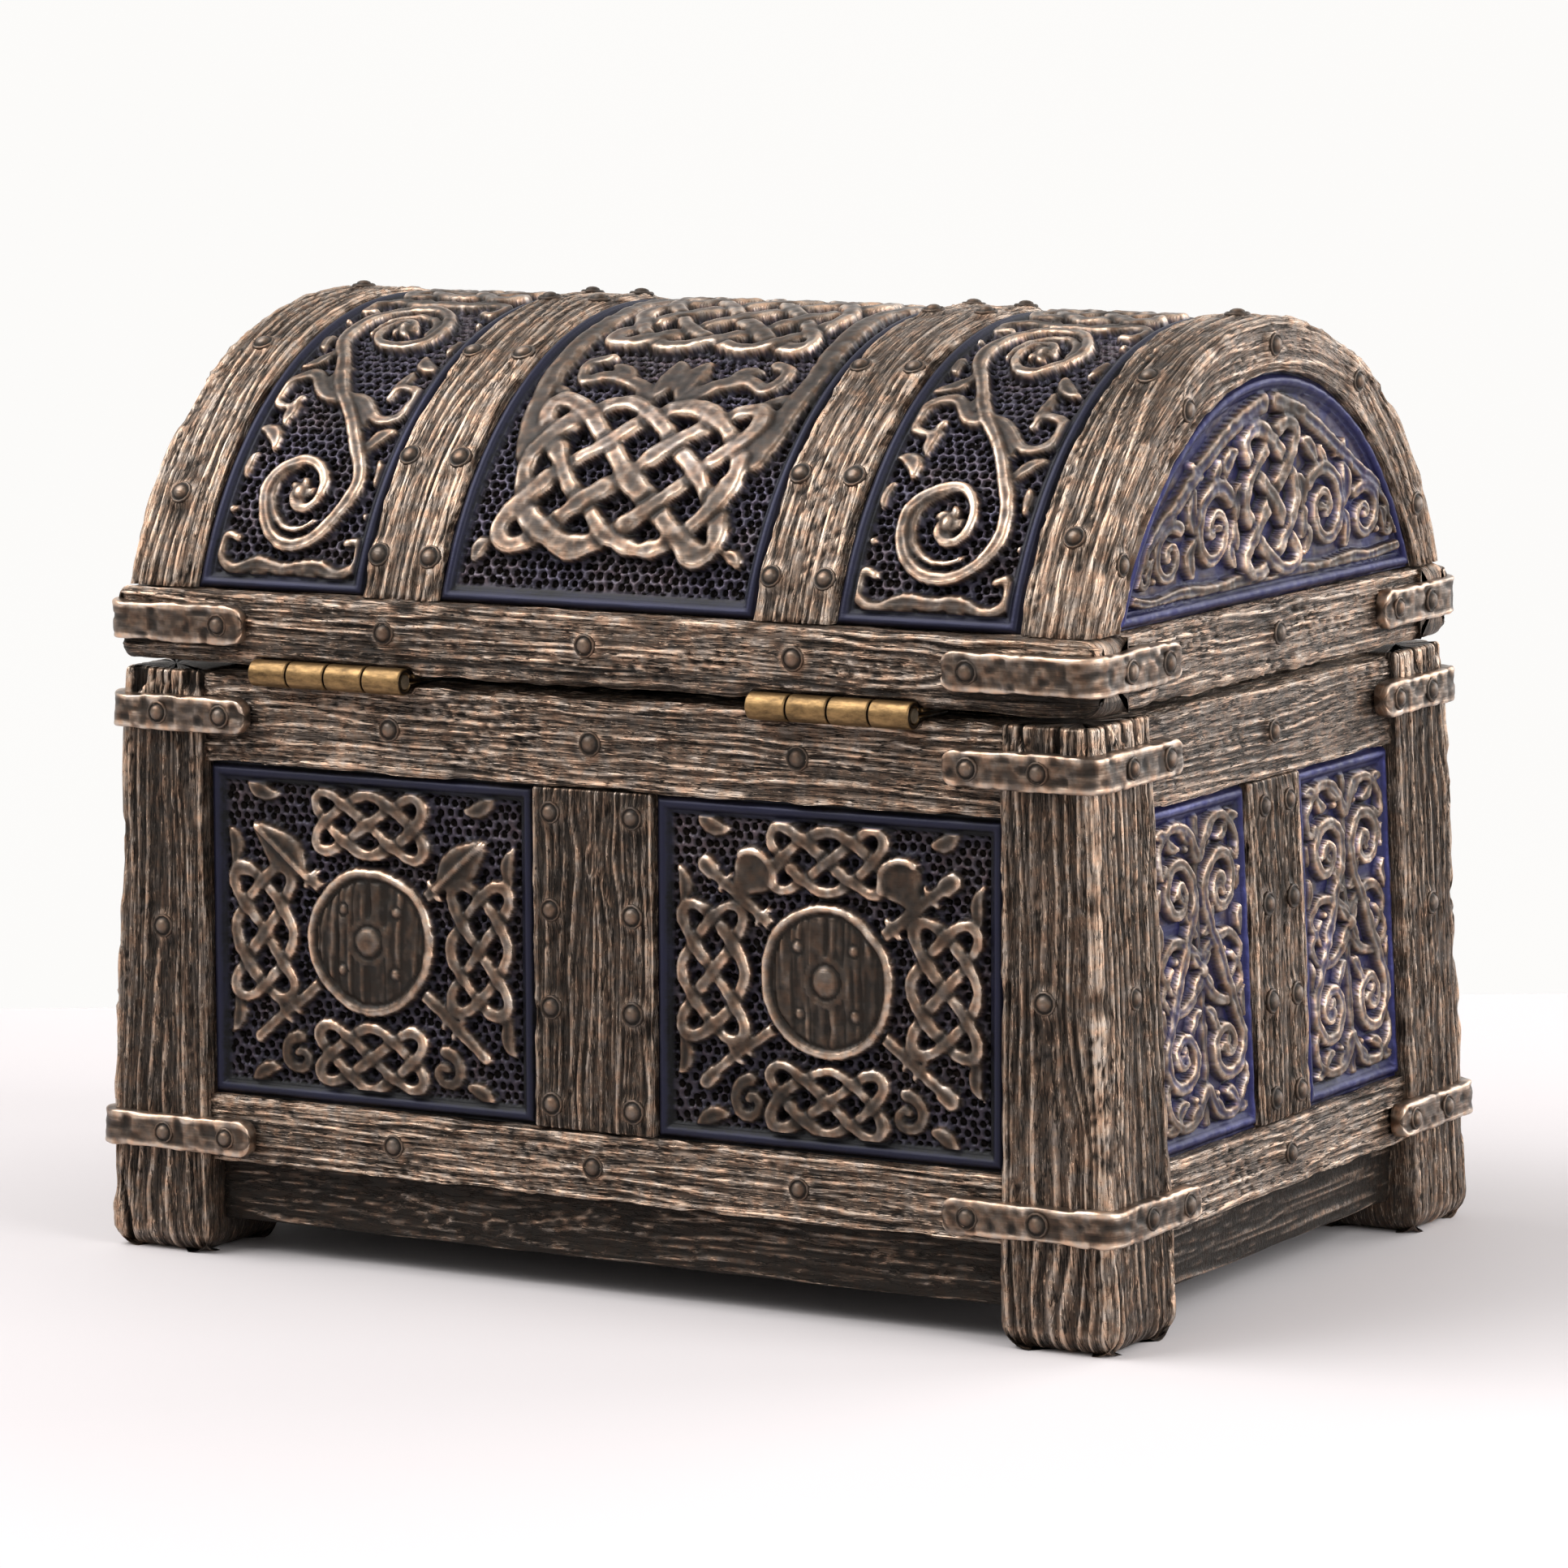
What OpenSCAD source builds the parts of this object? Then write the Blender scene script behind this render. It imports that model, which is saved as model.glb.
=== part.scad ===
// Trinket chest with an arched lid on two barrel hinges.
// The frame stands on its four feet: +Z is up, the front faces -Y, the hinges are on the +Y side,
// and left and right are as seen from the front, so the left end faces -X.

/* [Chest] */
// Length over the corner posts, at the rim
chest_l = 123.8; // [110:0.1:150]
// Width over the corner posts, at the rim
chest_w = 86.4; // [76:0.1:104]
// Height of the body's rim above the surface that the feet stand on
rim_z = 66.3; // [58:0.1:84]
// How far each end leans out between the rim and the floor
end_flare = 3; // [0:0.1:5]
// How far the front and the rear lean out between the rim and the floor
side_flare = 0.8; // [0:0.1:3]
// Thickness of the walls at the rim, from the face of the posts to the inside
wall = 8; // [7:0.1:10]

/* [Posts and feet] */
// Width of a post on the front and rear faces, at the rim
post_w = 11.3; // [9:0.1:15]
// Width of a post on the end faces, at the rim
post_d = 14; // [10:0.1:18]
// How far the posts stand proud of the rails
post_proud = 0.8; // [0.3:0.1:1.5]
// Rounding of the lower edges of the feet
foot_round = 3; // [1:0.1:4]

/* [Base board] */
// Height of the underside of the base board above the floor
base_lift = 3.8; // [2:0.1:8]
// Thickness of the base board, which the bottom rails stand on
base_t = 6.9; // [4:0.1:10]
// How far the edge of the base board stands back from the rails
base_inset = 2.4; // [0.5:0.1:4]

/* [Rails and stiles] */
// Height of the top rails
top_rail_h = 10.4; // [9:0.1:14]
// Height of the bottom rails
bottom_rail_h = 7.9; // [6:0.1:12]
// Width of the centre stiles of the front and the rear
side_stile_w = 15.6; // [12:0.1:22]
// Width of the centre stiles of the ends
end_stile_w = 12.6; // [9:0.1:16]

/* [Relief panels] */
// Depth of the ground of the wall panels and dome panels below the members round them
panel_recess = 1.6; // [1.2:0.1:2.4]
// Width of the raised moulding round each panel
moulding_w = 1.6; // [1:0.1:2.5]
// Height of that moulding above the ground
moulding_h = 0.8; // [0.3:0.1:1.1]
// Radius of the round shield on the front and rear panels
shield_r = 8.4; // [5:0.1:11]
// Height of the shield above the ground
shield_h = 0.9; // [0.4:0.1:1.1]
// Radius of the boss at the centre of the shield
boss_r = 2.2; // [1:0.1:3.5]
// Height of the boss above the shield
boss_h = 0.6; // [0.2:0.1:1]
// Length of the crossed spears behind the shield
spear_l = 40; // [30:0.1:44]
// Width of a spear's shaft
spear_w = 1.5; // [0.8:0.1:2.5]
// Lean of each spear from level
spear_angle = 38; // [25:1:50]
// Radius of the rings carved between the spears
knot_r = 4.4; // [3:0.1:5]
// Width of the carved rings and bands
band_w = 1.3; // [0.8:0.1:1.8]
// Height of the carved rings and bands above the ground
band_h = 0.7; // [0.3:0.1:1]
// Least gap between two carvings, and between a carving and the moulding
carve_gap = 0.3; // [0.2:0.1:0.6]
// Radius of the scrolls on the end panels
scroll_r = 4.6; // [3:0.1:5]

/* [Lid] */
// How far the lid's rails stand out past the posts at the rim
lid_over = 0.1; // [0:0.1:0.8]
// Gap between the rim and the closed lid
seam = 0.6; // [0.4:0.1:1]
// Height of the lid's rails
lid_rail_h = 8.7; // [8:0.1:12]
// Chamfer along the lower outer edge of the lid's rails
lid_edge = 1.2; // [0.4:0.1:1.6]
// Rise of the arch above the lid's rails
arch_rise = 30.8; // [22:0.1:36]
// How far the arch stands back from the face of the lid's front and rear rails
arch_inset = 1.2; // [0.4:0.1:3]
// How far the arched end faces stand back from the lid's end rails
arch_face_inset = 0.5; // [0:0.1:1.5]
// Width of the two end ribs, along the chest
end_rib_w = 9.4; // [8:0.1:12]
// Width of the two middle ribs
mid_rib_w = 10; // [6:0.1:14]
// Distance of each middle rib's centre from the middle of the chest
mid_rib_x = 25; // [22:0.1:30]
// Depth of the ground of the half-round end panels below the arched end faces
lunette_recess = 1.5; // [1.1:0.1:2.4]
// Radius of the rings carved on the side panels of the dome and on the half-round panels
dome_ring_r = 6.4; // [4:0.1:7]
// Radius of the rings carved on the centre panel of the dome
centre_ring_r = 8.6; // [5:0.1:9]

/* [Corner straps] */
// How far the straps stand out from the posts and the lid's rails
strap_t = 1; // [0.6:0.1:1.6]
// Height of the straps on the body
strap_h = 4; // [3:0.1:5]
// Height of the straps on the lid
lid_strap_h = 4.4; // [3:0.1:5]
// Reach of a strap from the corner along the front or rear
strap_reach_side = 17.5; // [15.5:0.1:22]
// Reach of a strap from the corner along the end
strap_reach_end = 18.5; // [17:0.1:22]
// Height of the middle of the lower straps above the floor
lower_strap_z = 13.9; // [10:0.1:16]
// Distance of the middle of the upper straps below the rim
upper_strap_drop = 4.8; // [3:0.1:6]
// Distance of the middle of the lid's straps above the lid's lower edge
lid_strap_rise = 4.8; // [3.5:0.1:6]

/* [Rivets] */
// Radius of a rivet's dome
rivet_r = 0.95; // [0.5:0.05:1.3]
// Height of a rivet's dome
rivet_h = 0.55; // [0.2:0.05:0.9]
// Distance of the strap rivets from the tip of the strap
strap_rivet_in = 3.1; // [1.8:0.1:5]
// Distance between the two rivets of one strap arm
strap_rivet_gap = 8.4; // [5:0.1:10]
// Spacing of the rivets along the rails
rail_rivet_pitch = 26; // [18:0.1:32]
// Distance between the two columns of rivets on a front or rear stile
side_stile_rivets = 10.4; // [7:0.1:12]
// Distance between the two columns of rivets on an end stile
end_stile_rivets = 6; // [4:0.1:9]
// Rows of rivets up each stile
stile_rows = 4; // [2:1:5]
// Distance of the first and last row from the ends of a stile
stile_row_in = 2.6; // [1.5:0.1:6]
// Distance between the two rivets of a pair across a middle rib
rib_rivet_gap = 6.6; // [3.6:0.1:8]

/* [Hinges] */
// Place of the left hinge's middle along the chest
left_hinge_x = -30.8; // [-35:0.1:-20]
// Place of the right hinge's middle along the chest
right_hinge_x = 33.2; // [20:0.1:35]
// Length of a hinge
hinge_l = 20; // [14:0.1:24]
// Radius of the barrel
knuckle_r = 1.5; // [1.3:0.05:1.8]
// Number of knuckles along a barrel
knuckles = 4; // [3:1:6]
// Gap between two knuckles
knuckle_gap = 0.15; // [0.1:0.05:0.4]
// Radius of the hinge pin
pin_r = 0.8; // [0.5:0.05:1]
// Running clearance round the pin
pin_clear = 0.05; // [0.02:0.01:0.1]
// Distance of the pin outside the posts' face at the rim
hinge_out = 0; // [-0.4:0.1:0.6]
// Depth of a leaf from the pin's centre
leaf_d = 7.2; // [5.5:0.1:7.4]
// Thickness of a leaf
leaf_t = 0.5; // [0.3:0.05:0.8]
// Gap between the two leaves when the lid is shut
leaf_gap = 0.3; // [0.2:0.05:0.4]
// Clearance round the barrel in the rails
barrel_clear = 0.3; // [0.2:0.05:0.6]
// Clearance round the leaves in their recesses
leaf_clear = 0.1; // [0.05:0.05:0.2]
// Radius of a screw's shank
screw_r = 0.5; // [0.3:0.05:0.7]
// Radius of a screw's head
screw_head_r = 1; // [0.8:0.05:1.3]
// Length of a screw
screw_l = 4.5; // [3:0.1:6]
// Clearance round a screw
screw_clear = 0.05; // [0.02:0.01:0.1]
// Distance between the two screws of a leaf
screw_gap = 12; // [8:0.1:12]
// Distance of the screws from the pin's centre
screw_in = 4.6; // [3.8:0.1:5.6]

/* [Hidden] */
$fn = 48;

// Overlap that makes a cut or a join sure
bite = 1;
// Half sizes over the posts at the rim
half_l = chest_l / 2;
half_w = chest_w / 2;
// Inside of the walls
inner_x = half_l - wall;
inner_y = half_w - wall;
// Inner faces of the posts
post_in_x = half_l - post_w;
post_in_y = half_w - post_d;
// Angles by which the walls lean
end_lean = atan(end_flare / rim_z);
side_lean = atan(side_flare / rim_z);
// Heights of the frame's members
bottom_rail_z = base_lift + base_t;
panel_z0 = bottom_rail_z + bottom_rail_h;
panel_z1 = rim_z - top_rail_h;
panel_mid_z = (panel_z0 + panel_z1) / 2;
upper_strap_z = rim_z - upper_strap_drop;
// Lid sizes
lid_half_l = half_l + lid_over;
lid_half_w = half_w + lid_over;
lid_z = rim_z + seam;
lid_top_z = lid_z + lid_rail_h;
lid_strap_z = lid_z + lid_strap_rise;
arch_half = lid_half_w - arch_inset;
// Radius and centre of the circle through the two feet and the top of the arch
arch_r = (arch_half * arch_half + arch_rise * arch_rise) / (2 * arch_rise);
arch_z = lid_top_z + arch_rise - arch_r;
// Inner radius of the vault, which starts flush with the inside of the lid's rails
vault_r = sqrt(pow(inner_y, 2) + pow(lid_top_z - arch_z, 2));
ground_r = arch_r - panel_recess;
arch_face_x = lid_half_l - arch_face_inset;
end_rib_in_x = arch_face_x - end_rib_w;
lunette_ground_x = arch_face_x - lunette_recess;
// Hinge axis, in the middle of the seam
hinge_y = half_w + hinge_out;
hinge_z = rim_z + seam / 2;
knuckle_l = (hinge_l - (knuckles - 1) * knuckle_gap) / knuckles;
// Tips of the straps
strap_in_x = half_l - strap_reach_side;
strap_in_y = half_w - strap_reach_end;
// Angles of the rivets round the arch, from straight up
rib_rivet_angles = [-66, -50, -28, -6, 6, 28, 50, 66];
end_rib_rivet_angles = [-58, -28, 0, 28, 58];
face_rivet_angles = [-60, -30, 0, 30, 60];
// Angles of the carved rings round the dome panels
ring_angles = [-50, -25, 0, 25, 50];
// Turns that bring the front wall's frame to each wall
FRONT = 0;
RIGHT = 360 / 4;
REAR = 2 * RIGHT;
LEFT = 3 * RIGHT;

// Distance of a leaning face from the middle, at height z
function face(half, flare, z) = half + flare * (rim_z - z) / rim_z;

// Points of an arc, for outlines
function arc(c, r, a0, a1, n) =
  [for (i = [0:n]) c + r * [cos(a0 + (a1 - a0) * i / n), sin(a0 + (a1 - a0) * i / n)]];

// Children, turned from the front wall to the wall at that turn
module wall_turn(turn) rotate([0, 0, turn]) children();

// Children drawn flat, laid on a leaning wall at height z: their x runs along it, their y up it
module on_wall(turn, half, flare, z)
  wall_turn(turn)
    translate([0, -face(half, flare, z), z])
      rotate([90 - atan(flare / rim_z), 0, 0]) children();

// A bar of a wall from x0 to x1, with a leaning outer face set back by inset and an upright inner face
module wall_bar(turn, half, flare, inset, inner, z0, z1, x0, x1)
  wall_turn(turn) translate([x0, 0, 0]) rotate([90, 0, 90]) linear_extrude(x1 - x0)
    polygon([
      [-inner, z0], [-face(half, flare, z0) + inset, z0],
      [-face(half, flare, z1) + inset, z1], [-inner, z1]
    ]);

module side_bar(turn, inset, z0, z1, x0, x1)
  wall_bar(turn, half_w, side_flare, inset, inner_y, z0, z1, x0, x1);

module end_bar(turn, inset, z0, z1, x0, x1)
  wall_bar(turn, half_l, end_flare, inset, inner_x, z0, z1, x0, x1);

// Outline of a post across one wall, with rounded lower corners
module post_outline(inner, half, flare) {
  lean = atan(flare / rim_z);
  outer_c = face(half, flare, foot_round) - foot_round / cos(lean);
  polygon(concat(
    [[inner, rim_z]],
    arc([inner + foot_round, foot_round], foot_round, 180, 270, 5),
    arc([outer_c, foot_round], foot_round, -90, lean, 5),
    [[half, rim_z]]
  ));
}

// The post of the front left corner is mirrored from the one at +X, +Y
module post(sx, sy)
  color("saddlebrown")
    mirror([sx < 0 ? 1 : 0, 0, 0]) mirror([0, sy < 0 ? 1 : 0, 0])
      intersection() {
        translate([0, half_w + side_flare + bite, 0]) rotate([90, 0, 0])
          linear_extrude(half_w + side_flare + bite) post_outline(post_in_x, half_l, end_flare);
        rotate([90, 0, 90])
          linear_extrude(half_l + end_flare + bite) post_outline(post_in_y, half_w, side_flare);
      }

// Space that the barrel and one leaf of a hinge take in a rail: side is -1 for the body, 1 for the lid
module hinge_recess(x, side) {
  translate([x - hinge_l / 2 - barrel_clear, hinge_y, hinge_z]) rotate([0, 90, 0])
    cylinder(r = knuckle_r + barrel_clear, h = hinge_l + 2 * barrel_clear);
  recess_h = leaf_gap / 2 + leaf_t;
  translate([
    x - hinge_l / 2 - leaf_clear, hinge_y - leaf_d - leaf_clear, hinge_z - (side < 0 ? recess_h : 0)
  ])
    cube([hinge_l + 2 * leaf_clear, leaf_d + 2 * leaf_clear, recess_h]);
  for (sx = [-1, 1])
    screw_place(x, sx, side) translate([0, 0, -screw_l - screw_clear])
      cylinder(r = screw_r + screw_clear, h = screw_l + bite);
}

// Children at a screw's head: they point out of the rail along +Z
module screw_place(x, sx, side)
  translate([x + sx * screw_gap / 2, hinge_y - screw_in, hinge_z + side * leaf_gap / 2])
    rotate([side < 0 ? 0 : 180, 0, 0]) children();

module top_rail_side(turn, has_hinges)
  color("peru") difference() {
    side_bar(turn, post_proud, panel_z1, rim_z, -post_in_x, post_in_x);
    if (has_hinges)
      for (x = [left_hinge_x, right_hinge_x]) hinge_recess(x, -1);
  }

module top_rail_end(turn)
  color("peru") end_bar(turn, post_proud, panel_z1, rim_z, -post_in_y, post_in_y);

module bottom_rail_side(turn)
  color("peru") side_bar(turn, post_proud, bottom_rail_z, panel_z0, -post_in_x, post_in_x);

module bottom_rail_end(turn)
  color("peru") end_bar(turn, post_proud, bottom_rail_z, panel_z0, -post_in_y, post_in_y);

module stile_side(turn)
  color("sienna")
    side_bar(turn, post_proud, panel_z0, panel_z1, -side_stile_w / 2, side_stile_w / 2);

module stile_end(turn)
  color("sienna") end_bar(turn, post_proud, panel_z0, panel_z1, -end_stile_w / 2, end_stile_w / 2);

// A flat ring standing on the ground
module ring(r, h)
  translate([0, 0, -bite]) difference() {
    cylinder(r = r, h = h + bite);
    translate([0, 0, -bite]) cylinder(r = r - band_w, h = h + 3 * bite);
  }

// The sunk middle of a panel, from its ground up, inside the moulding
module pocket(w, h)
  translate([-w / 2 + moulding_w, -h / 2 + moulding_w, 0])
    cube([w - 2 * moulding_w, h - 2 * moulding_w, moulding_h + bite]);

// A cap of a sphere with radius r and height h
module cap(r, h) {
  ball = (r * r + h * h) / (2 * h);
  intersection() {
    translate([0, 0, h - ball]) sphere(r = ball);
    cylinder(r = r + bite, h = h + bite);
  }
}

// Shield with its boss and crossed spears, with a carved ring on each side
module shield_relief(w, h) {
  intersection() {
    translate([-w / 2 + moulding_w, -h / 2 + moulding_w, -bite])
      cube([w - 2 * moulding_w, h - 2 * moulding_w, 3 * bite]);
    for (a = [-spear_angle, spear_angle])
      rotate([0, 0, a]) translate([-spear_l / 2, -spear_w / 2, -bite])
        cube([spear_l, spear_w, band_h + bite]);
  }
  translate([0, 0, -bite]) cylinder(r = shield_r, h = shield_h + bite);
  translate([0, 0, shield_h - bite / 2]) cylinder(r = boss_r, h = bite / 2 + boss_h);
  // Room between the shield and the moulding, along and up the panel
  room_x = w / 2 - moulding_w - shield_r;
  room_y = h / 2 - moulding_w - shield_r;
  for (s = [-1, 1]) {
    translate([s * (shield_r + room_x / 2), 0, 0]) ring(min(knot_r, room_x / 2 - carve_gap), band_h);
    translate([0, s * (shield_r + room_y / 2), 0]) ring(min(knot_r, room_y / 2 - carve_gap), band_h);
  }
}

// Four scrolls round a lozenge
module scroll_relief(w, h) {
  r = min(scroll_r, (w / 2 - moulding_w) / 2 - carve_gap);
  for (sx = [-1, 1], sy = [-1, 1])
    translate([sx * (r + carve_gap), sy * (h / 2 - moulding_w) / 2, 0]) ring(r, band_h);
  rotate([0, 0, 45]) translate([-r / 2, -r / 2, -bite]) cube([r, r, band_h + bite]);
}

side_panel_w = post_in_x - side_stile_w / 2;
side_panel_x = (post_in_x + side_stile_w / 2) / 2;
end_panel_w = post_in_y - end_stile_w / 2;
end_panel_y = (post_in_y + end_stile_w / 2) / 2;
ground_inset = post_proud + panel_recess;
moulding_inset = ground_inset - moulding_h;

// s is -1 for the half of the wall at its own left, 1 for the other half
module panel_side(turn, s)
  color("midnightblue") {
    x0 = s * side_panel_x - side_panel_w / 2;
    h = (panel_z1 - panel_z0) / cos(side_lean);
    difference() {
      side_bar(turn, moulding_inset, panel_z0, panel_z1, x0, x0 + side_panel_w);
      on_wall(turn, half_w, side_flare, panel_mid_z)
        translate([s * side_panel_x, 0, -ground_inset]) pocket(side_panel_w, h);
    }
    on_wall(turn, half_w, side_flare, panel_mid_z)
      translate([s * side_panel_x, 0, -ground_inset]) shield_relief(side_panel_w, h);
  }

module panel_end(turn, s)
  color("midnightblue") {
    x0 = s * end_panel_y - end_panel_w / 2;
    h = (panel_z1 - panel_z0) / cos(end_lean);
    difference() {
      end_bar(turn, moulding_inset, panel_z0, panel_z1, x0, x0 + end_panel_w);
      on_wall(turn, half_l, end_flare, panel_mid_z)
        translate([s * end_panel_y, 0, -ground_inset]) pocket(end_panel_w, h);
    }
    on_wall(turn, half_l, end_flare, panel_mid_z)
      translate([s * end_panel_y, 0, -ground_inset]) scroll_relief(end_panel_w, h);
  }

// The board fills the frame below the bottom rails and is notched round the feet
module base_board()
  color("dimgray") difference() {
    x = face(half_l, end_flare, bottom_rail_z) - post_proud - base_inset;
    y = face(half_w, side_flare, bottom_rail_z) - post_proud - base_inset;
    translate([-x, -y, base_lift]) cube([2 * x, 2 * y, base_t]);
    for (sx = [-1, 1], sy = [-1, 1])
      translate([sx > 0 ? post_in_x : -x - bite, sy > 0 ? post_in_y : -y - bite, base_lift - bite])
        cube([x - post_in_x + bite, y - post_in_y + bite, base_t + 2 * bite]);
  }

// Everything within the four leaning faces, set out by grow
module body_block(grow)
  intersection() {
    translate([0, half_w + side_flare + 2 * bite, 0]) rotate([90, 0, 0])
      linear_extrude(chest_w + 2 * side_flare + 4 * bite)
        polygon([
          [-half_l - end_flare - grow, 0], [half_l + end_flare + grow, 0],
          [half_l + grow, rim_z], [-half_l - grow, rim_z]
        ]);
    translate([-half_l - end_flare - 2 * bite, 0, 0]) rotate([90, 0, 90])
      linear_extrude(chest_l + 2 * end_flare + 4 * bite)
        polygon([
          [-half_w - side_flare - grow, 0], [half_w + side_flare + grow, 0],
          [half_w + grow, rim_z], [-half_w - grow, rim_z]
        ]);
  }

// Part of space at one corner, from the tips of a strap outwards
module corner_slab(sx, sy, z, h)
  translate([
    sx > 0 ? strap_in_x : -half_l - end_flare - 2 * bite - strap_t,
    sy > 0 ? strap_in_y : -half_w - side_flare - 2 * bite - strap_t,
    z - h / 2
  ])
    cube([
      half_l + end_flare + 2 * bite + strap_t - strap_in_x,
      half_w + side_flare + 2 * bite + strap_t - strap_in_y, h
    ]);

// A strap round a corner of the body, fitted over the post and on to the rails
module body_strap(sx, sy, z)
  color("darkgoldenrod") difference() {
    intersection() {
      body_block(strap_t);
      corner_slab(sx, sy, z, strap_h);
    }
    body_block(-post_proud);
    post(sx, sy);
  }

module lid_strap(sx, sy)
  color("darkgoldenrod") difference() {
    intersection() {
      translate([-lid_half_l - strap_t, -lid_half_w - strap_t, lid_z])
        cube([2 * (lid_half_l + strap_t), 2 * (lid_half_w + strap_t), lid_rail_h]);
      corner_slab(sx, sy, lid_strap_z, lid_strap_h);
    }
    translate([-lid_half_l, -lid_half_w, lid_z - bite])
      cube([2 * lid_half_l, 2 * lid_half_w, lid_rail_h + 2 * bite]);
  }

module rivet() cap(rivet_r, rivet_h);

// Rivets of one strap arm, at the given distance of its tip and post rivets from the middle of the wall
module strap_arm_rivets(turn, half, flare, z, tip)
  on_wall(turn, half, flare, z)
    for (s = [-1, 1], x = [tip + strap_rivet_in, tip + strap_rivet_in + strap_rivet_gap])
      translate([s * x, 0, strap_t]) rivet();

module stile_rivets(turn, half, flare, gap)
  for (i = [0:stile_rows - 1]) {
    z = panel_z0 + stile_row_in + i * (panel_z1 - panel_z0 - 2 * stile_row_in) / (stile_rows - 1);
    on_wall(turn, half, flare, z)
      for (s = [-1, 1]) translate([s * gap / 2, 0, -post_proud]) rivet();
  }

module body_rivets()
  color("gold") {
    for (z = [lower_strap_z, upper_strap_z]) {
      for (turn = [FRONT, REAR]) strap_arm_rivets(turn, half_w, side_flare, z, strap_in_x);
      for (turn = [LEFT, RIGHT]) strap_arm_rivets(turn, half_l, end_flare, z, strap_in_y);
    }
    for (turn = [FRONT, REAR]) {
      for (z = [(bottom_rail_z + panel_z0) / 2, (panel_z1 + rim_z) / 2])
        on_wall(turn, half_w, side_flare, z)
          for (i = [-1:1]) translate([i * rail_rivet_pitch, 0, -post_proud]) rivet();
      on_wall(turn, half_w, side_flare, panel_mid_z)
        for (s = [-1, 1]) translate([s * (post_in_x + post_w / 2), 0, 0]) rivet();
      stile_rivets(turn, half_w, side_flare, side_stile_rivets);
    }
    for (turn = [LEFT, RIGHT]) {
      for (z = [(bottom_rail_z + panel_z0) / 2, (panel_z1 + rim_z) / 2])
        on_wall(turn, half_l, end_flare, z) translate([0, 0, -post_proud]) rivet();
      on_wall(turn, half_l, end_flare, panel_mid_z)
        for (s = [-1, 1]) translate([s * (post_in_y + post_d / 2), 0, 0]) rivet();
      stile_rivets(turn, half_l, end_flare, end_stile_rivets);
    }
  }

// The knuckles of a barrel that belong to one leaf, or those of the other leaf, each grown by grow
module knuckle_row(x, first, grow)
  for (i = [first:2:knuckles - 1])
    translate([x - hinge_l / 2 + i * (knuckle_l + knuckle_gap), hinge_y, hinge_z])
      translate([-grow, 0, 0]) rotate([0, 90, 0])
        cylinder(r = knuckle_r + grow, h = knuckle_l + 2 * grow);

// side is -1 for the leaf on the body and 1 for the leaf on the lid
module hinge_leaf(x, side)
  color("goldenrod") difference() {
    union() {
      translate([
        x - hinge_l / 2, hinge_y - leaf_d, side < 0 ? hinge_z - leaf_gap / 2 - leaf_t : hinge_z + leaf_gap / 2
      ])
        cube([hinge_l, leaf_d, leaf_t]);
      knuckle_row(x, side < 0 ? 0 : 1, 0);
    }
    knuckle_row(x, side < 0 ? 1 : 0, knuckle_gap);
    translate([x - hinge_l / 2 - bite, hinge_y, hinge_z]) rotate([0, 90, 0])
      cylinder(r = pin_r + pin_clear, h = hinge_l + 2 * bite);
    for (sx = [-1, 1])
      screw_place(x, sx, side) translate([0, 0, -leaf_t])
        cylinder(r1 = screw_r + screw_clear, r2 = screw_head_r + screw_clear, h = leaf_t);
  }

module hinge_pin(x)
  color("silver") translate([x - hinge_l / 2, hinge_y, hinge_z]) rotate([0, 90, 0])
    cylinder(r = pin_r, h = hinge_l);

module hinge_screws(side)
  color("silver")
    for (x = [left_hinge_x, right_hinge_x], sx = [-1, 1])
      screw_place(x, sx, side) {
        translate([0, 0, -leaf_t]) cylinder(r1 = screw_r, r2 = screw_head_r, h = leaf_t);
        translate([0, 0, -screw_l]) cylinder(r = screw_r, h = screw_l - leaf_t);
      }

// Profile of a lid rail across the wall, from the inside at inner to the face at outer
module lid_rail_outline(inner, outer)
  polygon([
    [-inner, lid_z], [-outer + lid_edge, lid_z], [-outer, lid_z + lid_edge],
    [-outer, lid_top_z], [-inner, lid_top_z]
  ]);

module lid_rail_side(turn, has_hinges)
  color("peru") difference() {
    intersection() {
      wall_turn(turn) translate([-lid_half_l, 0, 0]) rotate([90, 0, 90])
        linear_extrude(2 * lid_half_l) lid_rail_outline(inner_y, lid_half_w);
      // The end faces of the long rails carry the same chamfer
      lid_end_block();
    }
    if (has_hinges)
      for (x = [left_hinge_x, right_hinge_x]) hinge_recess(x, 1);
  }

// The lid's length with its lower edges chamfered
module lid_end_block()
  translate([0, lid_half_w + bite, 0]) rotate([90, 0, 0]) linear_extrude(2 * lid_half_w + 2 * bite)
    polygon([
      [-lid_half_l + lid_edge, lid_z], [lid_half_l - lid_edge, lid_z], [lid_half_l, lid_z + lid_edge],
      [lid_half_l, lid_top_z], [-lid_half_l, lid_top_z], [-lid_half_l, lid_z + lid_edge]
    ]);

module lid_rail_end(turn)
  color("peru") wall_turn(turn) translate([-inner_y, 0, 0]) rotate([90, 0, 90])
    linear_extrude(2 * inner_y) lid_rail_outline(inner_x, lid_half_l);

// A cylinder along the chest from x0 to x1, on the arch's centre
module arch_rod(r, x0, x1)
  translate([x0, 0, arch_z]) rotate([0, 90, 0]) cylinder(r = r, h = x1 - x0, $fn = 96);

// An arched shell between two radii, standing on the lid's rails
module arch_shell(r_in, r_out, x0, x1)
  difference() {
    arch_rod(r_out, x0, x1);
    arch_rod(r_in, x0 - bite, x1 + bite);
    translate([x0 - bite, -r_out - bite, arch_z - r_out - bite])
      cube([x1 - x0 + 2 * bite, 2 * (r_out + bite), lid_top_z - arch_z + r_out + bite]);
  }

module rib(x, w) color("sienna") arch_shell(vault_r, arch_r, x - w / 2, x + w / 2);

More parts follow.
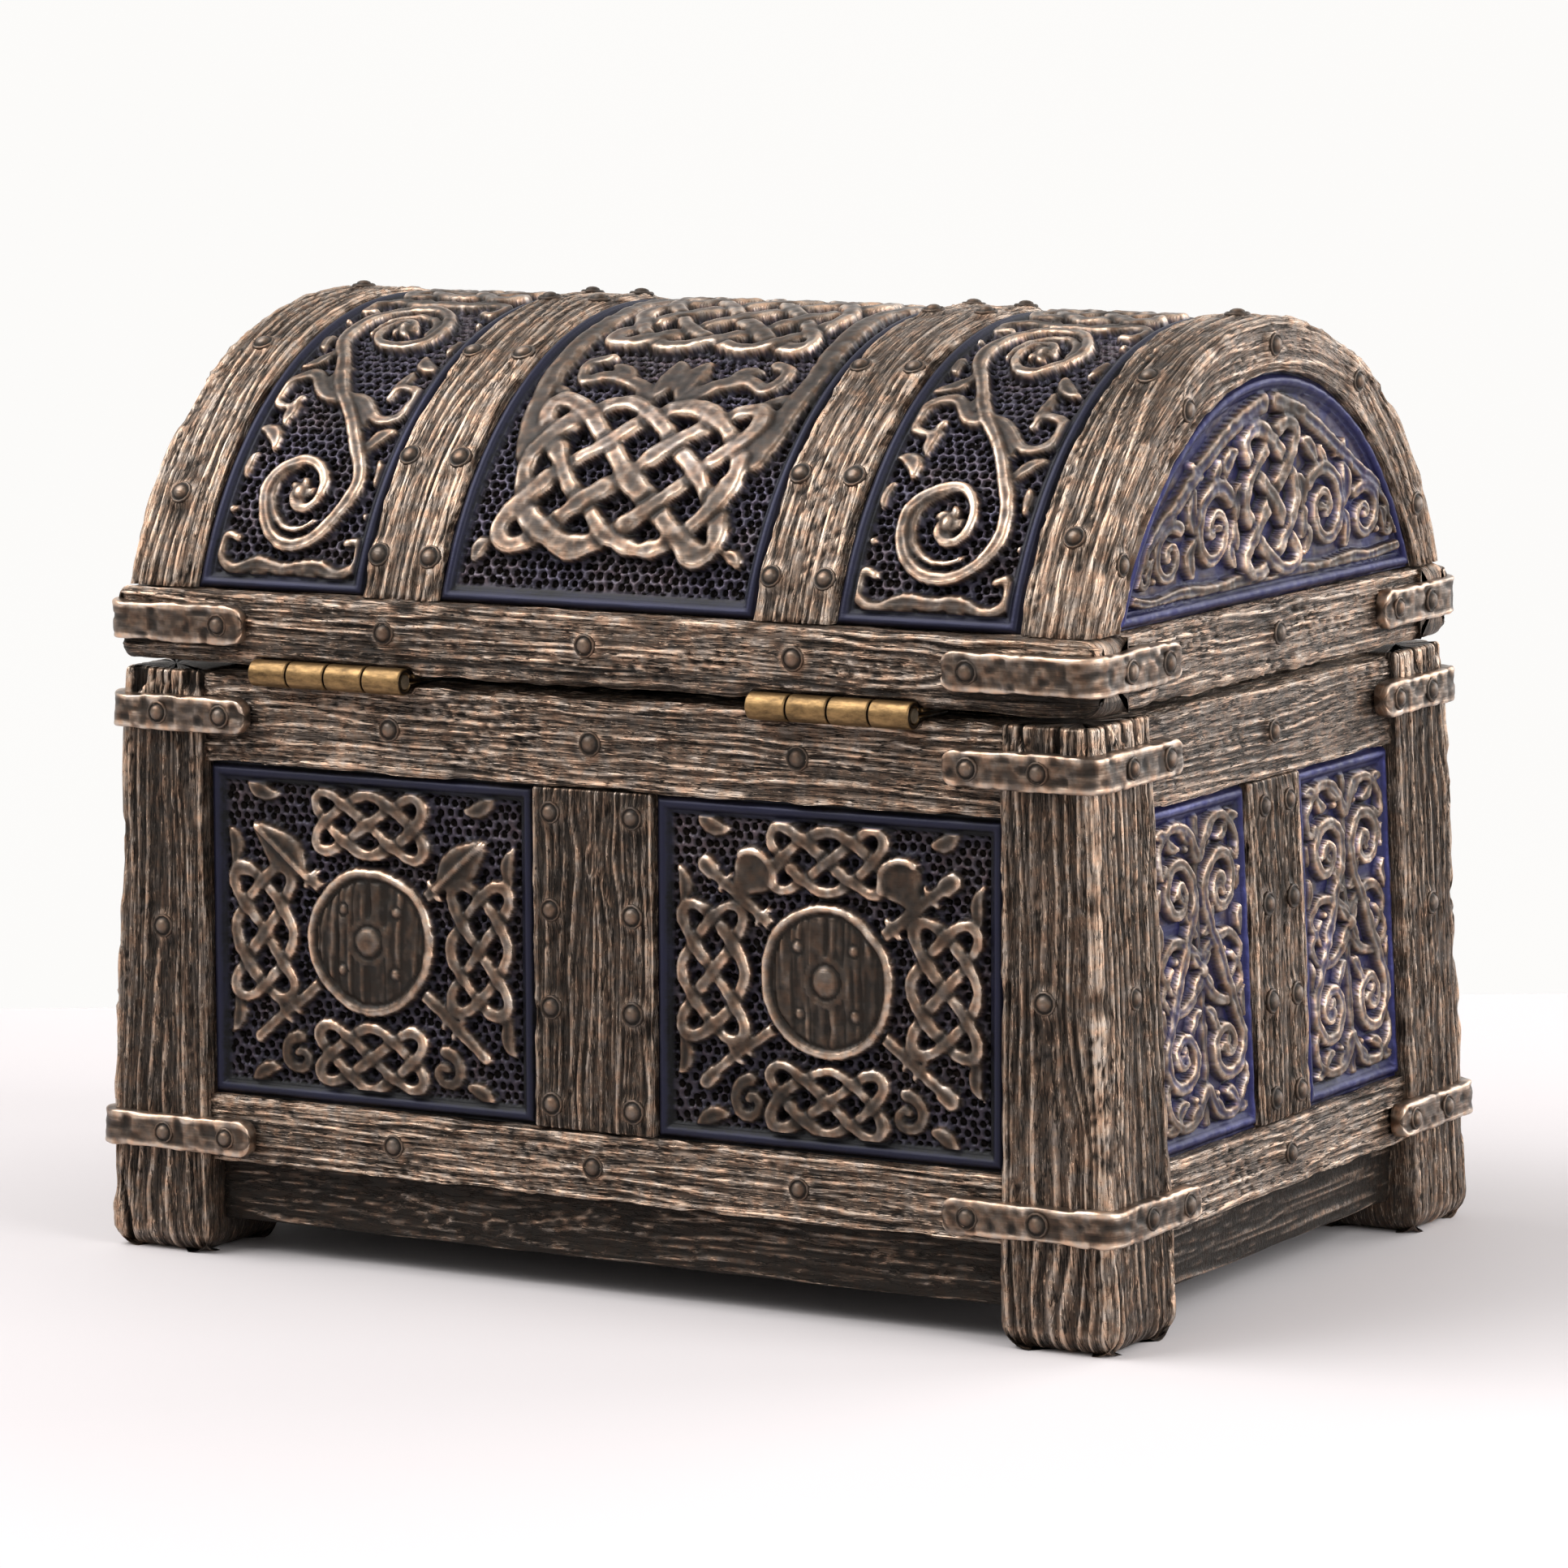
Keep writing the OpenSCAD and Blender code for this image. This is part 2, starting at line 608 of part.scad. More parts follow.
// Children, drawn along +Z, turned to stand out of the dome at an angle from straight up
module on_dome(x, angle) translate([x, 0, arch_z]) rotate([angle, 0, 0]) children();

// A carved ring of a dome panel, cut from a thin shell so that it follows the dome
module dome_ring(x, angle, r)
  intersection() {
    difference() {
      arch_rod(ground_r + band_h, x - r - bite, x + r + bite);
      arch_rod(ground_r - bite, x - r - 2 * bite, x + r + 2 * bite);
    }
    on_dome(x, angle) difference() {
      cylinder(r = r, h = arch_r);
      translate([0, 0, -bite]) cylinder(r = r - band_w, h = arch_r + 2 * bite);
    }
  }

module dome_panel(x0, x1, r)
  color("midnightblue") {
    arch_shell(vault_r, ground_r, x0, x1);
    arch_shell(ground_r - bite, ground_r + moulding_h, x0, x0 + moulding_w);
    arch_shell(ground_r - bite, ground_r + moulding_h, x1 - moulding_w, x1);
    intersection() {
      arch_shell(ground_r - bite, ground_r + moulding_h, x0, x1);
      translate([x0 - bite, -arch_r, lid_top_z]) cube([x1 - x0 + 2 * bite, 2 * arch_r, moulding_w]);
    }
    for (a = ring_angles) dome_ring((x0 + x1) / 2, a, r);
  }

// A half-round slice inside the end arch, from x0 to x1
module lunette_slice(r, z0, x0, x1)
  difference() {
    arch_rod(r, x0, x1);
    translate([x0 - bite, -r - bite, arch_z - r - bite])
      cube([x1 - x0 + 2 * bite, 2 * (r + bite), z0 - arch_z + r + bite]);
  }

// The lunette of the right end
module lunette_solid() {
  lunette_slice(vault_r, lid_top_z, inner_x, lunette_ground_x);
  difference() {
    lunette_slice(vault_r, lid_top_z, lunette_ground_x - bite, lunette_ground_x + moulding_h);
    lunette_slice(
      vault_r - moulding_w, lid_top_z + moulding_w, lunette_ground_x - 2 * bite, lunette_ground_x + 2 * bite
    );
  }
  ring_z = lid_top_z + (vault_r + arch_z - lid_top_z) / 2;
  for (p = [[0, ring_z, 1.4], [-1, lid_top_z + moulding_w + dome_ring_r, 1], [1, lid_top_z + moulding_w + dome_ring_r, 1]])
    translate([lunette_ground_x, p[0] * vault_r / 2, p[1]]) rotate([0, 90, 0]) ring(dome_ring_r * p[2], band_h);
}

module lunette(side) color("midnightblue") mirror([side < 0 ? 1 : 0, 0, 0]) lunette_solid();

module lid_rivets()
  color("gold") {
    // On the round ribs the middle of a rivet's flat base touches the crown
    for (sx = [-1, 1]) {
      for (a = rib_rivet_angles, s = [-1, 1])
        on_dome(sx * mid_rib_x + s * rib_rivet_gap / 2, a) translate([0, 0, arch_r]) rivet();
      for (a = end_rib_rivet_angles)
        on_dome(sx * (arch_face_x - end_rib_w / 2), a) translate([0, 0, arch_r]) rivet();
      for (a = face_rivet_angles)
        on_dome(sx * arch_face_x, a) translate([0, 0, (vault_r + arch_r) / 2])
          rotate([0, 90 * sx, 0]) rivet();
    }
    z = (lid_z + lid_edge + lid_top_z) / 2;
    for (turn = [FRONT, REAR])
      wall_turn(turn) translate([0, -lid_half_w, z]) rotate([90, 0, 0])
        for (i = [-1:1]) translate([i * rail_rivet_pitch, 0, 0]) rivet();
    for (turn = [LEFT, RIGHT])
      wall_turn(turn) translate([0, -lid_half_l, z]) rotate([90, 0, 0]) rivet();
    for (turn = [FRONT, REAR])
      wall_turn(turn) translate([0, -lid_half_w - strap_t, lid_strap_z]) rotate([90, 0, 0])
        for (s = [-1, 1]) translate([s * (strap_in_x + strap_rivet_in), 0, 0]) rivet();
    for (turn = [LEFT, RIGHT])
      wall_turn(turn) translate([0, -lid_half_l - strap_t, lid_strap_z]) rotate([90, 0, 0])
        for (s = [-1, 1], x = [strap_rivet_in, strap_rivet_in + strap_rivet_gap])
          translate([s * (strap_in_y + x), 0, 0]) rivet();
  }

post(-1, -1);  // post_front_left
post(1, -1);  // post_front_right
post(-1, 1);  // post_rear_left
post(1, 1);  // post_rear_right
top_rail_side(FRONT, false);  // top_rail_front
top_rail_side(REAR, true);  // top_rail_rear
top_rail_end(LEFT);  // top_rail_left
top_rail_end(RIGHT);  // top_rail_right
bottom_rail_side(FRONT);  // bottom_rail_front
bottom_rail_side(REAR);  // bottom_rail_rear
bottom_rail_end(LEFT);  // bottom_rail_left
bottom_rail_end(RIGHT);  // bottom_rail_right
stile_side(FRONT);  // stile_front
stile_side(REAR);  // stile_rear
stile_end(LEFT);  // stile_left
stile_end(RIGHT);  // stile_right
panel_side(FRONT, -1);  // panel_front_left
panel_side(FRONT, 1);  // panel_front_right
panel_side(REAR, 1);  // panel_rear_left
panel_side(REAR, -1);  // panel_rear_right
panel_end(LEFT, 1);  // panel_left_front
panel_end(LEFT, -1);  // panel_left_rear
panel_end(RIGHT, -1);  // panel_right_front
panel_end(RIGHT, 1);  // panel_right_rear
base_board();
body_strap(-1, -1, lower_strap_z);  // lower_strap_front_left
body_strap(1, -1, lower_strap_z);  // lower_strap_front_right
body_strap(-1, 1, lower_strap_z);  // lower_strap_rear_left
body_strap(1, 1, lower_strap_z);  // lower_strap_rear_right
body_strap(-1, -1, upper_strap_z);  // upper_strap_front_left
body_strap(1, -1, upper_strap_z);  // upper_strap_front_right
body_strap(-1, 1, upper_strap_z);  // upper_strap_rear_left
body_strap(1, 1, upper_strap_z);  // upper_strap_rear_right
body_rivets();
hinge_leaf(left_hinge_x, -1);  // hinge_left_body_leaf
hinge_leaf(left_hinge_x, 1);  // hinge_left_lid_leaf
hinge_pin(left_hinge_x);  // hinge_left_pin
hinge_leaf(right_hinge_x, -1);  // hinge_right_body_leaf
hinge_leaf(right_hinge_x, 1);  // hinge_right_lid_leaf
hinge_pin(right_hinge_x);  // hinge_right_pin
hinge_screws(-1);  // body_hinge_screws
hinge_screws(1);  // lid_hinge_screws
lid_rail_side(FRONT, false);  // lid_rail_front
lid_rail_side(REAR, true);  // lid_rail_rear
lid_rail_end(LEFT);  // lid_rail_left
lid_rail_end(RIGHT);  // lid_rail_right
rib(-arch_face_x + end_rib_w / 2, end_rib_w);  // rib_left_end
rib(-mid_rib_x, mid_rib_w);  // rib_left
rib(mid_rib_x, mid_rib_w);  // rib_right
rib(arch_face_x - end_rib_w / 2, end_rib_w);  // rib_right_end
dome_panel(-end_rib_in_x, -mid_rib_x - mid_rib_w / 2, dome_ring_r);  // dome_panel_left
dome_panel(-mid_rib_x + mid_rib_w / 2, mid_rib_x - mid_rib_w / 2, centre_ring_r);  // dome_panel_centre
dome_panel(mid_rib_x + mid_rib_w / 2, end_rib_in_x, dome_ring_r);  // dome_panel_right
lunette(-1);  // lunette_left
lunette(1);  // lunette_right
lid_strap(-1, -1);  // lid_strap_front_left
lid_strap(1, -1);  // lid_strap_front_right
lid_strap(-1, 1);  // lid_strap_rear_left
lid_strap(1, 1);  // lid_strap_rear_right
lid_rivets();
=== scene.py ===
import math
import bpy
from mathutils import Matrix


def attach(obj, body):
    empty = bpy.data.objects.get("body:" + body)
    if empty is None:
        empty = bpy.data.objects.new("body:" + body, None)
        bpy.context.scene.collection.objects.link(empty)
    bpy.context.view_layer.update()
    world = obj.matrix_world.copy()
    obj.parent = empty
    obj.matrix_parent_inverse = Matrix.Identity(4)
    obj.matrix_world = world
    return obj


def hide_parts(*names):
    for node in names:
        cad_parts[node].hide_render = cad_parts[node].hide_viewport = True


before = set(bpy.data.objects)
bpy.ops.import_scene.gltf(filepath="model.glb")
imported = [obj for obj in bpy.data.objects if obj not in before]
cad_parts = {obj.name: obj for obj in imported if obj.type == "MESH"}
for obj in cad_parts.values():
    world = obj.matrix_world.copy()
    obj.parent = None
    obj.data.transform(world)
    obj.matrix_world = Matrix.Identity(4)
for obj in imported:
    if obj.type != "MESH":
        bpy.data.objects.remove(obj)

from types import SimpleNamespace

import bpy
import numpy as np
from mathutils import Matrix

bl_info = {
    "name": "Trinket chest dressing",
    "version": (1, 0, 0),
    "blender": (4, 5, 0),
    "location": "View3D > Sidebar > Chest",
    "description": "Carves and finishes the pieces of a trinket chest with an arched lid",
    "category": "Add Mesh",
}

MM = 1000.0  # millimetres in a metre
TAU = 2 * math.pi
FAR = 9e9  # farther than any point, in millimetres
# Turns that bring the front wall's frame to each wall, in degrees
FRONT, RIGHT, REAR, LEFT = 0, 90, 180, 270
WALL_NAMES = {FRONT: "front", RIGHT: "right", REAR: "rear", LEFT: "left"}
LONG_WALLS = (FRONT, REAR)
# Each corner of the chest: the signs of x and y, and its name
CORNERS = [(sx, sy, f"{ys}_{xs}") for sy, ys in ((-1, "front"), (1, "rear")) for sx, xs in ((-1, "left"), (1, "right"))]
LATTICE = 64  # cells along a table of random numbers, before it repeats
LINE_STEP = 0.24  # between the points of a carved line, in millimetres
KNUCKLE_ROUND = 0.24  # rounding of the ends of a hinge's knuckles, in millimetres
CAP_RINGS = 3  # rings that close each end of a member
PLAIN = 0.30  # relief attribute of uncarved and hidden faces, which the finish shows as umber
# The photograph's camera: place in metres, turns in radians, lens and sensor in millimetres
EYE = (-0.40259, 0.68184, 0.16303)
YAW, PITCH, ROLL = 0.53416, 0.140084, -0.00988
LENS, SENSOR = 162.08, 36.0

# Sizes and colours that a user would change


def length(name, description, default):
    """A size property in metres."""
    return bpy.props.FloatProperty(name=name, description=description, default=default, min=-1.0, unit="LENGTH")


def colour(name, description, default):
    """A colour property, in linear red, green and blue."""
    return bpy.props.FloatVectorProperty(
        name=name, description=description, default=default, size=3, min=0.0, max=1.0, subtype="COLOR"
    )


class ChestBodySizes(bpy.types.PropertyGroup):
    half_l: length("Half length", "From the middle to the face of the posts, at the rim", 0.0619)
    half_w: length("Half width", "From the middle to the face of the posts, at the rim", 0.0432)
    rim: length("Rim height", "Height of the rim above the floor", 0.0663)
    end_flare: length("End flare", "How far each end leans out down to the floor", 0.003)
    side_flare: length("Side flare", "How far the front and rear lean out down to the floor", 0.0008)
    wall: length("Wall", "Thickness of the walls at the rim", 0.008)
    post_w: length("Post width", "Width of a post on the front and rear", 0.0113)
    post_d: length("Post depth", "Width of a post on the ends", 0.014)
    proud: length("Post step", "How far the posts stand proud of the rails", 0.0008)
    foot_round: length("Foot rounding", "Rounding of the lower edges of the feet", 0.003)
    base_lift: length("Base lift", "Height of the underside of the base board", 0.0038)
    base_t: length("Base thickness", "Thickness of the base board", 0.0069)
    base_inset: length("Base inset", "How far the base board stands back from the rails", 0.0024)
    top_rail: length("Top rail", "Height of the top rails", 0.0104)
    bottom_rail: length("Bottom rail", "Height of the bottom rails", 0.0079)
    side_stile: length("Side stile", "Width of the centre stiles of the front and rear", 0.0156)
    end_stile: length("End stile", "Width of the centre stiles of the ends", 0.0126)
    recess: length("Panel recess", "Depth of a panel's ground below the members round it", 0.0016)
    shield_r: length("Shield radius", "Radius of the round shield on the front and rear panels", 0.0084)


class ChestLidSizes(bpy.types.PropertyGroup):
    lid_over: length("Overhang", "How far the lid's rails stand out past the posts", 0.0001)
    seam: length("Seam", "Gap between the rim and the closed lid", 0.0006)
    lid_rail: length("Rail height", "Height of the lid's rails", 0.0087)
    arch_rise: length("Arch rise", "Rise of the arch above the lid's rails", 0.0308)
    arch_inset: length("Arch inset", "How far the arch stands back from the long rails", 0.0012)
    face_inset: length("Face inset", "How far the arched ends stand back from the end rails", 0.0005)
    end_rib: length("End rib", "Width of the end ribs", 0.0094)
    mid_rib: length("Middle rib", "Width of the middle ribs", 0.010)
    rib_x: length("Rib distance", "From the middle of the chest to a middle rib", 0.025)
    lunette_recess: length("Lunette recess", "Depth of the half-round panels", 0.0015)


class ChestIronSizes(bpy.types.PropertyGroup):
    strap_t: length("Strap step", "How far the straps stand out", 0.001)
    strap_h: length("Body strap", "Height of the straps on the body", 0.004)
    lid_strap_h: length("Lid strap", "Height of the straps on the lid", 0.0044)
    reach_side: length("Side reach", "Reach of a strap along the front or rear", 0.0175)
    reach_end: length("End reach", "Reach of a strap along the end", 0.0185)
    lower_z: length("Lower strap", "Height of the lower straps above the floor", 0.0139)
    upper_drop: length("Upper strap", "Distance of the upper straps below the rim", 0.0048)
    lid_strap_rise: length("Lid strap rise", "Height of the lid's straps above its lower edge", 0.0048)
    tip_in: length("Tip rivet", "Distance of a strap's first rivet from its tip", 0.0031)
    arm_gap: length("Arm gap", "Distance between the two rivets of a strap arm", 0.0084)
    rail_pitch: length("Rail pitch", "Spacing of the rivets along the rails", 0.026)
    side_pair: length("Side pair", "Between the rivet columns of a front or rear stile", 0.0104)
    end_pair: length("End pair", "Between the rivet columns of an end stile", 0.006)
    row_in: length("Row inset", "Distance of the first rivet row from the end of a stile", 0.0026)
    rib_pair: length("Rib pair", "Between the two rivets across a middle rib", 0.0066)
    rivet_r: length("Rivet radius", "Radius of a rivet's dome", 0.00085)
    rivet_h: length("Rivet height", "Height of a rivet's dome", 0.00053)
    hinge_left: length("Left hinge", "Place of the left hinge along the chest", -0.0308)
    hinge_right: length("Right hinge", "Place of the right hinge along the chest", 0.0332)
    hinge_l: length("Hinge length", "Length of a hinge", 0.020)
    knuckle_r: length("Knuckle radius", "Radius of a hinge barrel", 0.0015)
    roll_r: length("Roll radius", "Inner radius of the rolled sheet of a hinge", 0.00092)
    leaf_d: length("Leaf depth", "Depth of a hinge leaf from the pin", 0.0072)
    leaf_t: length("Leaf thickness", "Thickness of a hinge leaf", 0.0005)
    leaf_gap: length("Leaf gap", "Gap between the leaves when the lid is shut", 0.0003)
    knuckle_gap: length("Knuckle gap", "Gap between two knuckles", 0.00015)


class ChestCarving(bpy.types.PropertyGroup):
    groove: length("Grain depth", "Depth of the carved grain", 0.00042)
    pitch: length("Grain pitch", "Spacing of the carved grain", 0.00112)
    across: length("Grain points", "Distance between points across the grain", 0.0002)
    along: length("Grain stations", "Distance between points along the grain", 0.0006)
    pit_pitch: length("Pit pitch", "Spacing of the pits in a panel's ground", 0.00118)
    pit_depth: length("Pit depth", "Depth of those pits", 0.0006)
    moulding: length("Moulding", "Width of the moulding round a panel", 0.0018)
    fine: length("Fine spacing", "Distance between the points of a relief", 0.00021)


class ChestColours(bpy.types.PropertyGroup):
    patina: colour("Patina", "Darkest colour, in the grooves", (0.015, 0.0105, 0.0075))
    umber: colour("Umber", "Colour of the hollows between ridges", (0.058, 0.0415, 0.0315))
    bronze: colour("Bronze", "Colour of the rubbed faces", (0.173, 0.128, 0.100))
    bright: colour("Bright bronze", "Colour of the rubbed edges", (0.54, 0.410, 0.320))
    blue: colour("Blue", "Colour of the painted grounds and mouldings", (0.016, 0.0165, 0.036))
    violet: colour("Violet", "Colour of the rubbed edges of the paint", (0.105, 0.105, 0.185))
    glaze: colour("Glaze", "Colour of the glazed grounds of the end panels", (0.013, 0.0135, 0.064))
    glaze_light: colour("Light glaze", "Colour of the rubbed edges of the glaze", (0.085, 0.09, 0.25))
    brass: colour("Brass", "Colour of the hinges", (0.275, 0.168, 0.072))
    floor: colour("Floor", "Colour of the table top", (0.645, 0.610, 0.617))
    wall: colour("Backdrop", "Colour of the wall behind", (0.985, 0.975, 0.96))


SIZE_GROUPS = {
    "chest_body": ChestBodySizes, "chest_lid": ChestLidSizes,
    "chest_iron": ChestIronSizes, "chest_carving": ChestCarving,
}
GROUPS = {**SIZE_GROUPS, "chest_colours": ChestColours}


def chest_sizes(scene):
    """All sizes in millimetres, with the levels and radii that follow from them.
    The arch is the circle through its two feet and its top: radius (half² + rise²) / 2 rise."""
    c = SimpleNamespace()
    for key, group in SIZE_GROUPS.items():
        for name in group.__annotations__:
            setattr(c, name, getattr(getattr(scene, key), name) * MM)
    c.inner_x, c.inner_y = c.half_l - c.wall, c.half_w - c.wall
    c.post_x, c.post_y = c.half_l - c.post_w, c.half_w - c.post_d
    c.base_top = c.base_lift + c.base_t
    c.panel_z0, c.panel_z1 = c.base_top + c.bottom_rail, c.rim - c.top_rail
    c.panel_mid = (c.panel_z0 + c.panel_z1) / 2
    c.upper_z = c.rim - c.upper_drop
    c.lid_l, c.lid_w = c.half_l + c.lid_over, c.half_w + c.lid_over
    c.lid_z = c.rim + c.seam
    c.lid_top = c.lid_z + c.lid_rail
    c.lid_strap_z = c.lid_z + c.lid_strap_rise
    half = c.lid_w - c.arch_inset
    c.arch_r = (half * half + c.arch_rise ** 2) / (2 * c.arch_rise)
    c.arch_z = c.lid_top + c.arch_rise - c.arch_r
    c.vault_r = math.hypot(c.inner_y, c.lid_top - c.arch_z)
    c.face_x = c.lid_l - c.face_inset
    c.end_rib_x = c.face_x - c.end_rib
    c.strap_x, c.strap_y = c.half_l - c.reach_side, c.half_w - c.reach_end
    c.hinge_y, c.hinge_z = c.half_w, c.rim + c.seam / 2
    return c


# Shapes as whole arrays: every point is (x, y, z) in millimetres until the mesh is made


def smooth(x, a, b):
    """Smooth step: t is (x - a) / (b - a) kept within 0 and 1, and the result 3t² - 2t³."""
    t = np.clip((x - a) / (b - a), 0, 1)
    return t * t * (3 - 2 * t)


def noise(u, v, seed):
    """Value noise within 0 and 1: seeded random heights on a square lattice, blended by smooth steps in each cell."""
    table = np.random.default_rng(seed).random((LATTICE, LATTICE))
    iu, iv = np.floor(u).astype(int), np.floor(v).astype(int)
    fu, fv = smooth(u - iu, 0, 1), smooth(v - iv, 0, 1)
    iu, iv, ju, jv = (i % LATTICE for i in (iu, iv, iu + 1, iv + 1))
    low = table[iu, iv] * (1 - fu) + table[ju, iv] * fu
    high = table[iu, jv] * (1 - fu) + table[ju, jv] * fu
    return low * (1 - fv) + high * fv


def soften(a, k, axis):
    """Mean over 2k + 1 neighbours along one axis, by differences of running sums."""
    if k < 1:
        return a
    pad = [(0, 0)] * a.ndim
    pad[axis] = (k + 1, k)
    total = np.cumsum(np.pad(a, pad, mode="edge"), axis=axis)
    n = a.shape[axis]
    high = np.take(total, np.arange(2 * k + 1, 2 * k + 1 + n), axis=axis)
    low = np.take(total, np.arange(0, n), axis=axis)
    return (high - low) / (2 * k + 1)


def blur(a, ku, kv):
    """Two rounds of the running mean along both axes."""
    for _ in range(2):
        a = soften(soften(a, ku, 0), kv, 1)
    return a


def spread(a, b, step):
    """Evenly spaced places from a to b, about step apart."""
    return np.linspace(a, b, max(2, int(round((b - a) / step)) + 1))


def strands(u, w, pitch, reach, seed):
    """Grooves between strands of wood. Groove k lies at pitch (k + 0.5 + a slow wander) and is a notch
    exp(-(distance / width)²), whose depth and width rise and fall slowly along the grain: noise of u and k."""
    cell = w / pitch
    k = np.floor(cell)
    cut = np.zeros_like(w)
    for dk in (-1, 0, 1):
        n = k + dk
        line = n + 0.5 + 0.66 * (noise(u / reach, n * 7.31, seed) - 0.5)
        deep = smooth(noise(u / (0.5 * reach), n * 3.77 + 9, seed + 1), 0.10, 0.70)
        wide = pitch * (0.11 + 0.13 * noise(u / (0.4 * reach), n * 5.13, seed + 2))
        cut = np.maximum(cut, deep * np.exp(-((cell - line) * pitch / wide) ** 2))
    return cut


def grain(u, v, seed, c):
    """Carved wood grain as a depth below the face, for u along the grain and v across it.
    v is pushed aside by slow waves and by knots, round which the strands part. Thin crests of two orders and the
    rings of the knots stand over wide valleys; worm pits in clusters and a slow swell are cut from both."""
    rng = np.random.default_rng(seed)
    w = v + 1.9 * (noise(u / 19, v / 7, seed) - 0.5) + 0.6 * (noise(u / 6, v / 2.6, seed + 1) - 0.5)
    ring = np.zeros_like(w)
    for _ in range(max(1, int((u.max() - u.min()) / 34))):
        ku, kv = rng.uniform(u.min() + 4, u.max() - 4), rng.uniform(v.min(), v.max())
        near = np.exp(-((u - ku) / 5.5) ** 2 - ((v - kv) / 2.8) ** 2)
        w = w + 1.3 * np.tanh((v - kv) / 0.8) * near
        oval = np.hypot((u - ku) / 2.2, v - kv)
        ring = np.maximum(ring, np.exp(-((oval - 0.8) / 0.17) ** 2))
    crest = strands(u, w, c.pitch, 22, seed + 2)
    hair = strands(u, w + 0.4, 0.52 * c.pitch, 9, seed + 6)
    high = np.maximum(np.maximum(crest, 0.62 * hair), 0.85 * ring)
    swell = noise(u / 14, w / (2.4 * c.pitch), seed + 10)
    worm, pit = nearest_cell(u / 1.5, v, 1.15, seed + 11)
    flock = smooth(noise(u / 8, v / 2.4, seed + 12), 0.66, 0.8)
    worm = smooth(0.40 - worm, 0, 0.2) * (pit > 0.45) * flock
    rough = noise(u / 1.1, v / 0.6, seed + 13)
    return c.groove * (0.95 * (1 - high) + 0.42 * (1 - swell) + 0.6 * worm + 0.14 * rough) / 1.1


def nearest_cell(u, v, pitch, seed):
    """Distance of each point to the nearest of a seeded, slightly jittered lattice of points whose rows are set half
    a step aside, and that point's own random number."""
    rng = np.random.default_rng(seed)
    ju, jv, own = rng.random((3, LATTICE, LATTICE))
    rise = pitch * 0.87
    row = np.floor(v / rise).astype(int)
    best, mark = np.full(u.shape, FAR), np.zeros(u.shape)
    for dr in (-1, 0, 1):
        r = row + dr
        shift = 0.5 * (r & 1)
        col = np.floor(u / pitch - shift).astype(int)
        for dc in (-1, 0, 1):
            k = col + dc
            a, b = k % LATTICE, r % LATTICE
            pu = (k + 0.5 + shift + 0.34 * (ju[a, b] - 0.5)) * pitch
            pv = (r + 0.5 + 0.34 * (jv[a, b] - 0.5)) * rise
            d = np.hypot(u - pu, v - pv)
            mark = np.where(d < best, own[a, b], mark)
            best = np.minimum(best, d)
    return best, mark


def run_along(points):
    """How far along its line each point lies."""
    return np.concatenate([[0], np.cumsum(np.linalg.norm(np.diff(points, axis=0), axis=1))])


def outline(corners, radii, steps, live):
    """A closed outline, anticlockwise, with rounded corners. Side i runs from corner i to the next, with its own
    spacing, and live is how much of the carving it takes. A corner is an arc: centre + radius (cos, sin).
    Gives points, outward normals, place round the outline, live, and distance from the nearest live corner."""
    corners = np.array(corners, float)
    n = len(corners)
    pts, nrm, on, sharp = [], [], [], []
    for i in range(n):
        a, b, d = corners[i - 1], corners[i], corners[(i + 1) % n]
        d0, d1 = (b - a) / np.linalg.norm(b - a), (d - b) / np.linalg.norm(d - b)
        n0, n1 = np.array([d0[1], -d0[0]]), np.array([d1[1], -d1[0]])
        turn = math.atan2(d0[0] * d1[1] - d0[1] * d1[0], d0 @ d1)
        both = (live[i - 1] + live[i]) / 2
        if turn > 0 and radii[i] > 0:
            back = radii[i] * math.tan(turn / 2)
            centre = b - d0 * back - n0 * radii[i]
            count = 6 if both > 0.4 else 3
            ang = math.atan2(n0[1], n0[0]) + turn * np.linspace(0, 1, count)
            ring = np.stack([np.cos(ang), np.sin(ang)], 1)
            pts.append(centre + radii[i] * ring)
            nrm.append(ring)
            out = b + d1 * back
        else:
            mean = (n0 + n1) / np.linalg.norm(n0 + n1)
            pts.append(b[None])
            nrm.append(mean[None])
            out, count = b, 1
        on += [both] * count
        sharp += [turn > 0 and both > 0] * count
        e = corners[(i + 2) % n]
        d2 = (e - d) / np.linalg.norm(e - d)
        next_turn = math.atan2(d1[0] * d2[1] - d1[1] * d2[0], d1 @ d2)
        r = radii[(i + 1) % n] if next_turn > 0 else 0
        end = d - d1 * r * math.tan(max(next_turn, 0) / 2)
        run = np.linalg.norm(end - out)
        k = max(1, int(round(run / steps[i])))
        t = (np.arange(1, k) / k)[:, None]
        pts.append(out + (end - out) * t)
        nrm.append(np.repeat(n1[None], k - 1, 0))
        on += [live[i]] * (k - 1)
        sharp += [False] * (k - 1)
    pts, nrm = np.concatenate(pts), np.concatenate(nrm)
    q = run_along(pts)
    whole = q[-1] + np.linalg.norm(pts[0] - pts[-1])
    marks = q[np.array(sharp)]
    gap = np.abs(q[:, None] - marks[None]) if len(marks) else np.full((len(q), 1), 9.0)
    edge = np.minimum(gap, whole - gap).min(1)
    return SimpleNamespace(p=pts, n=nrm, q=q, on=np.array(on, float), edge=edge)


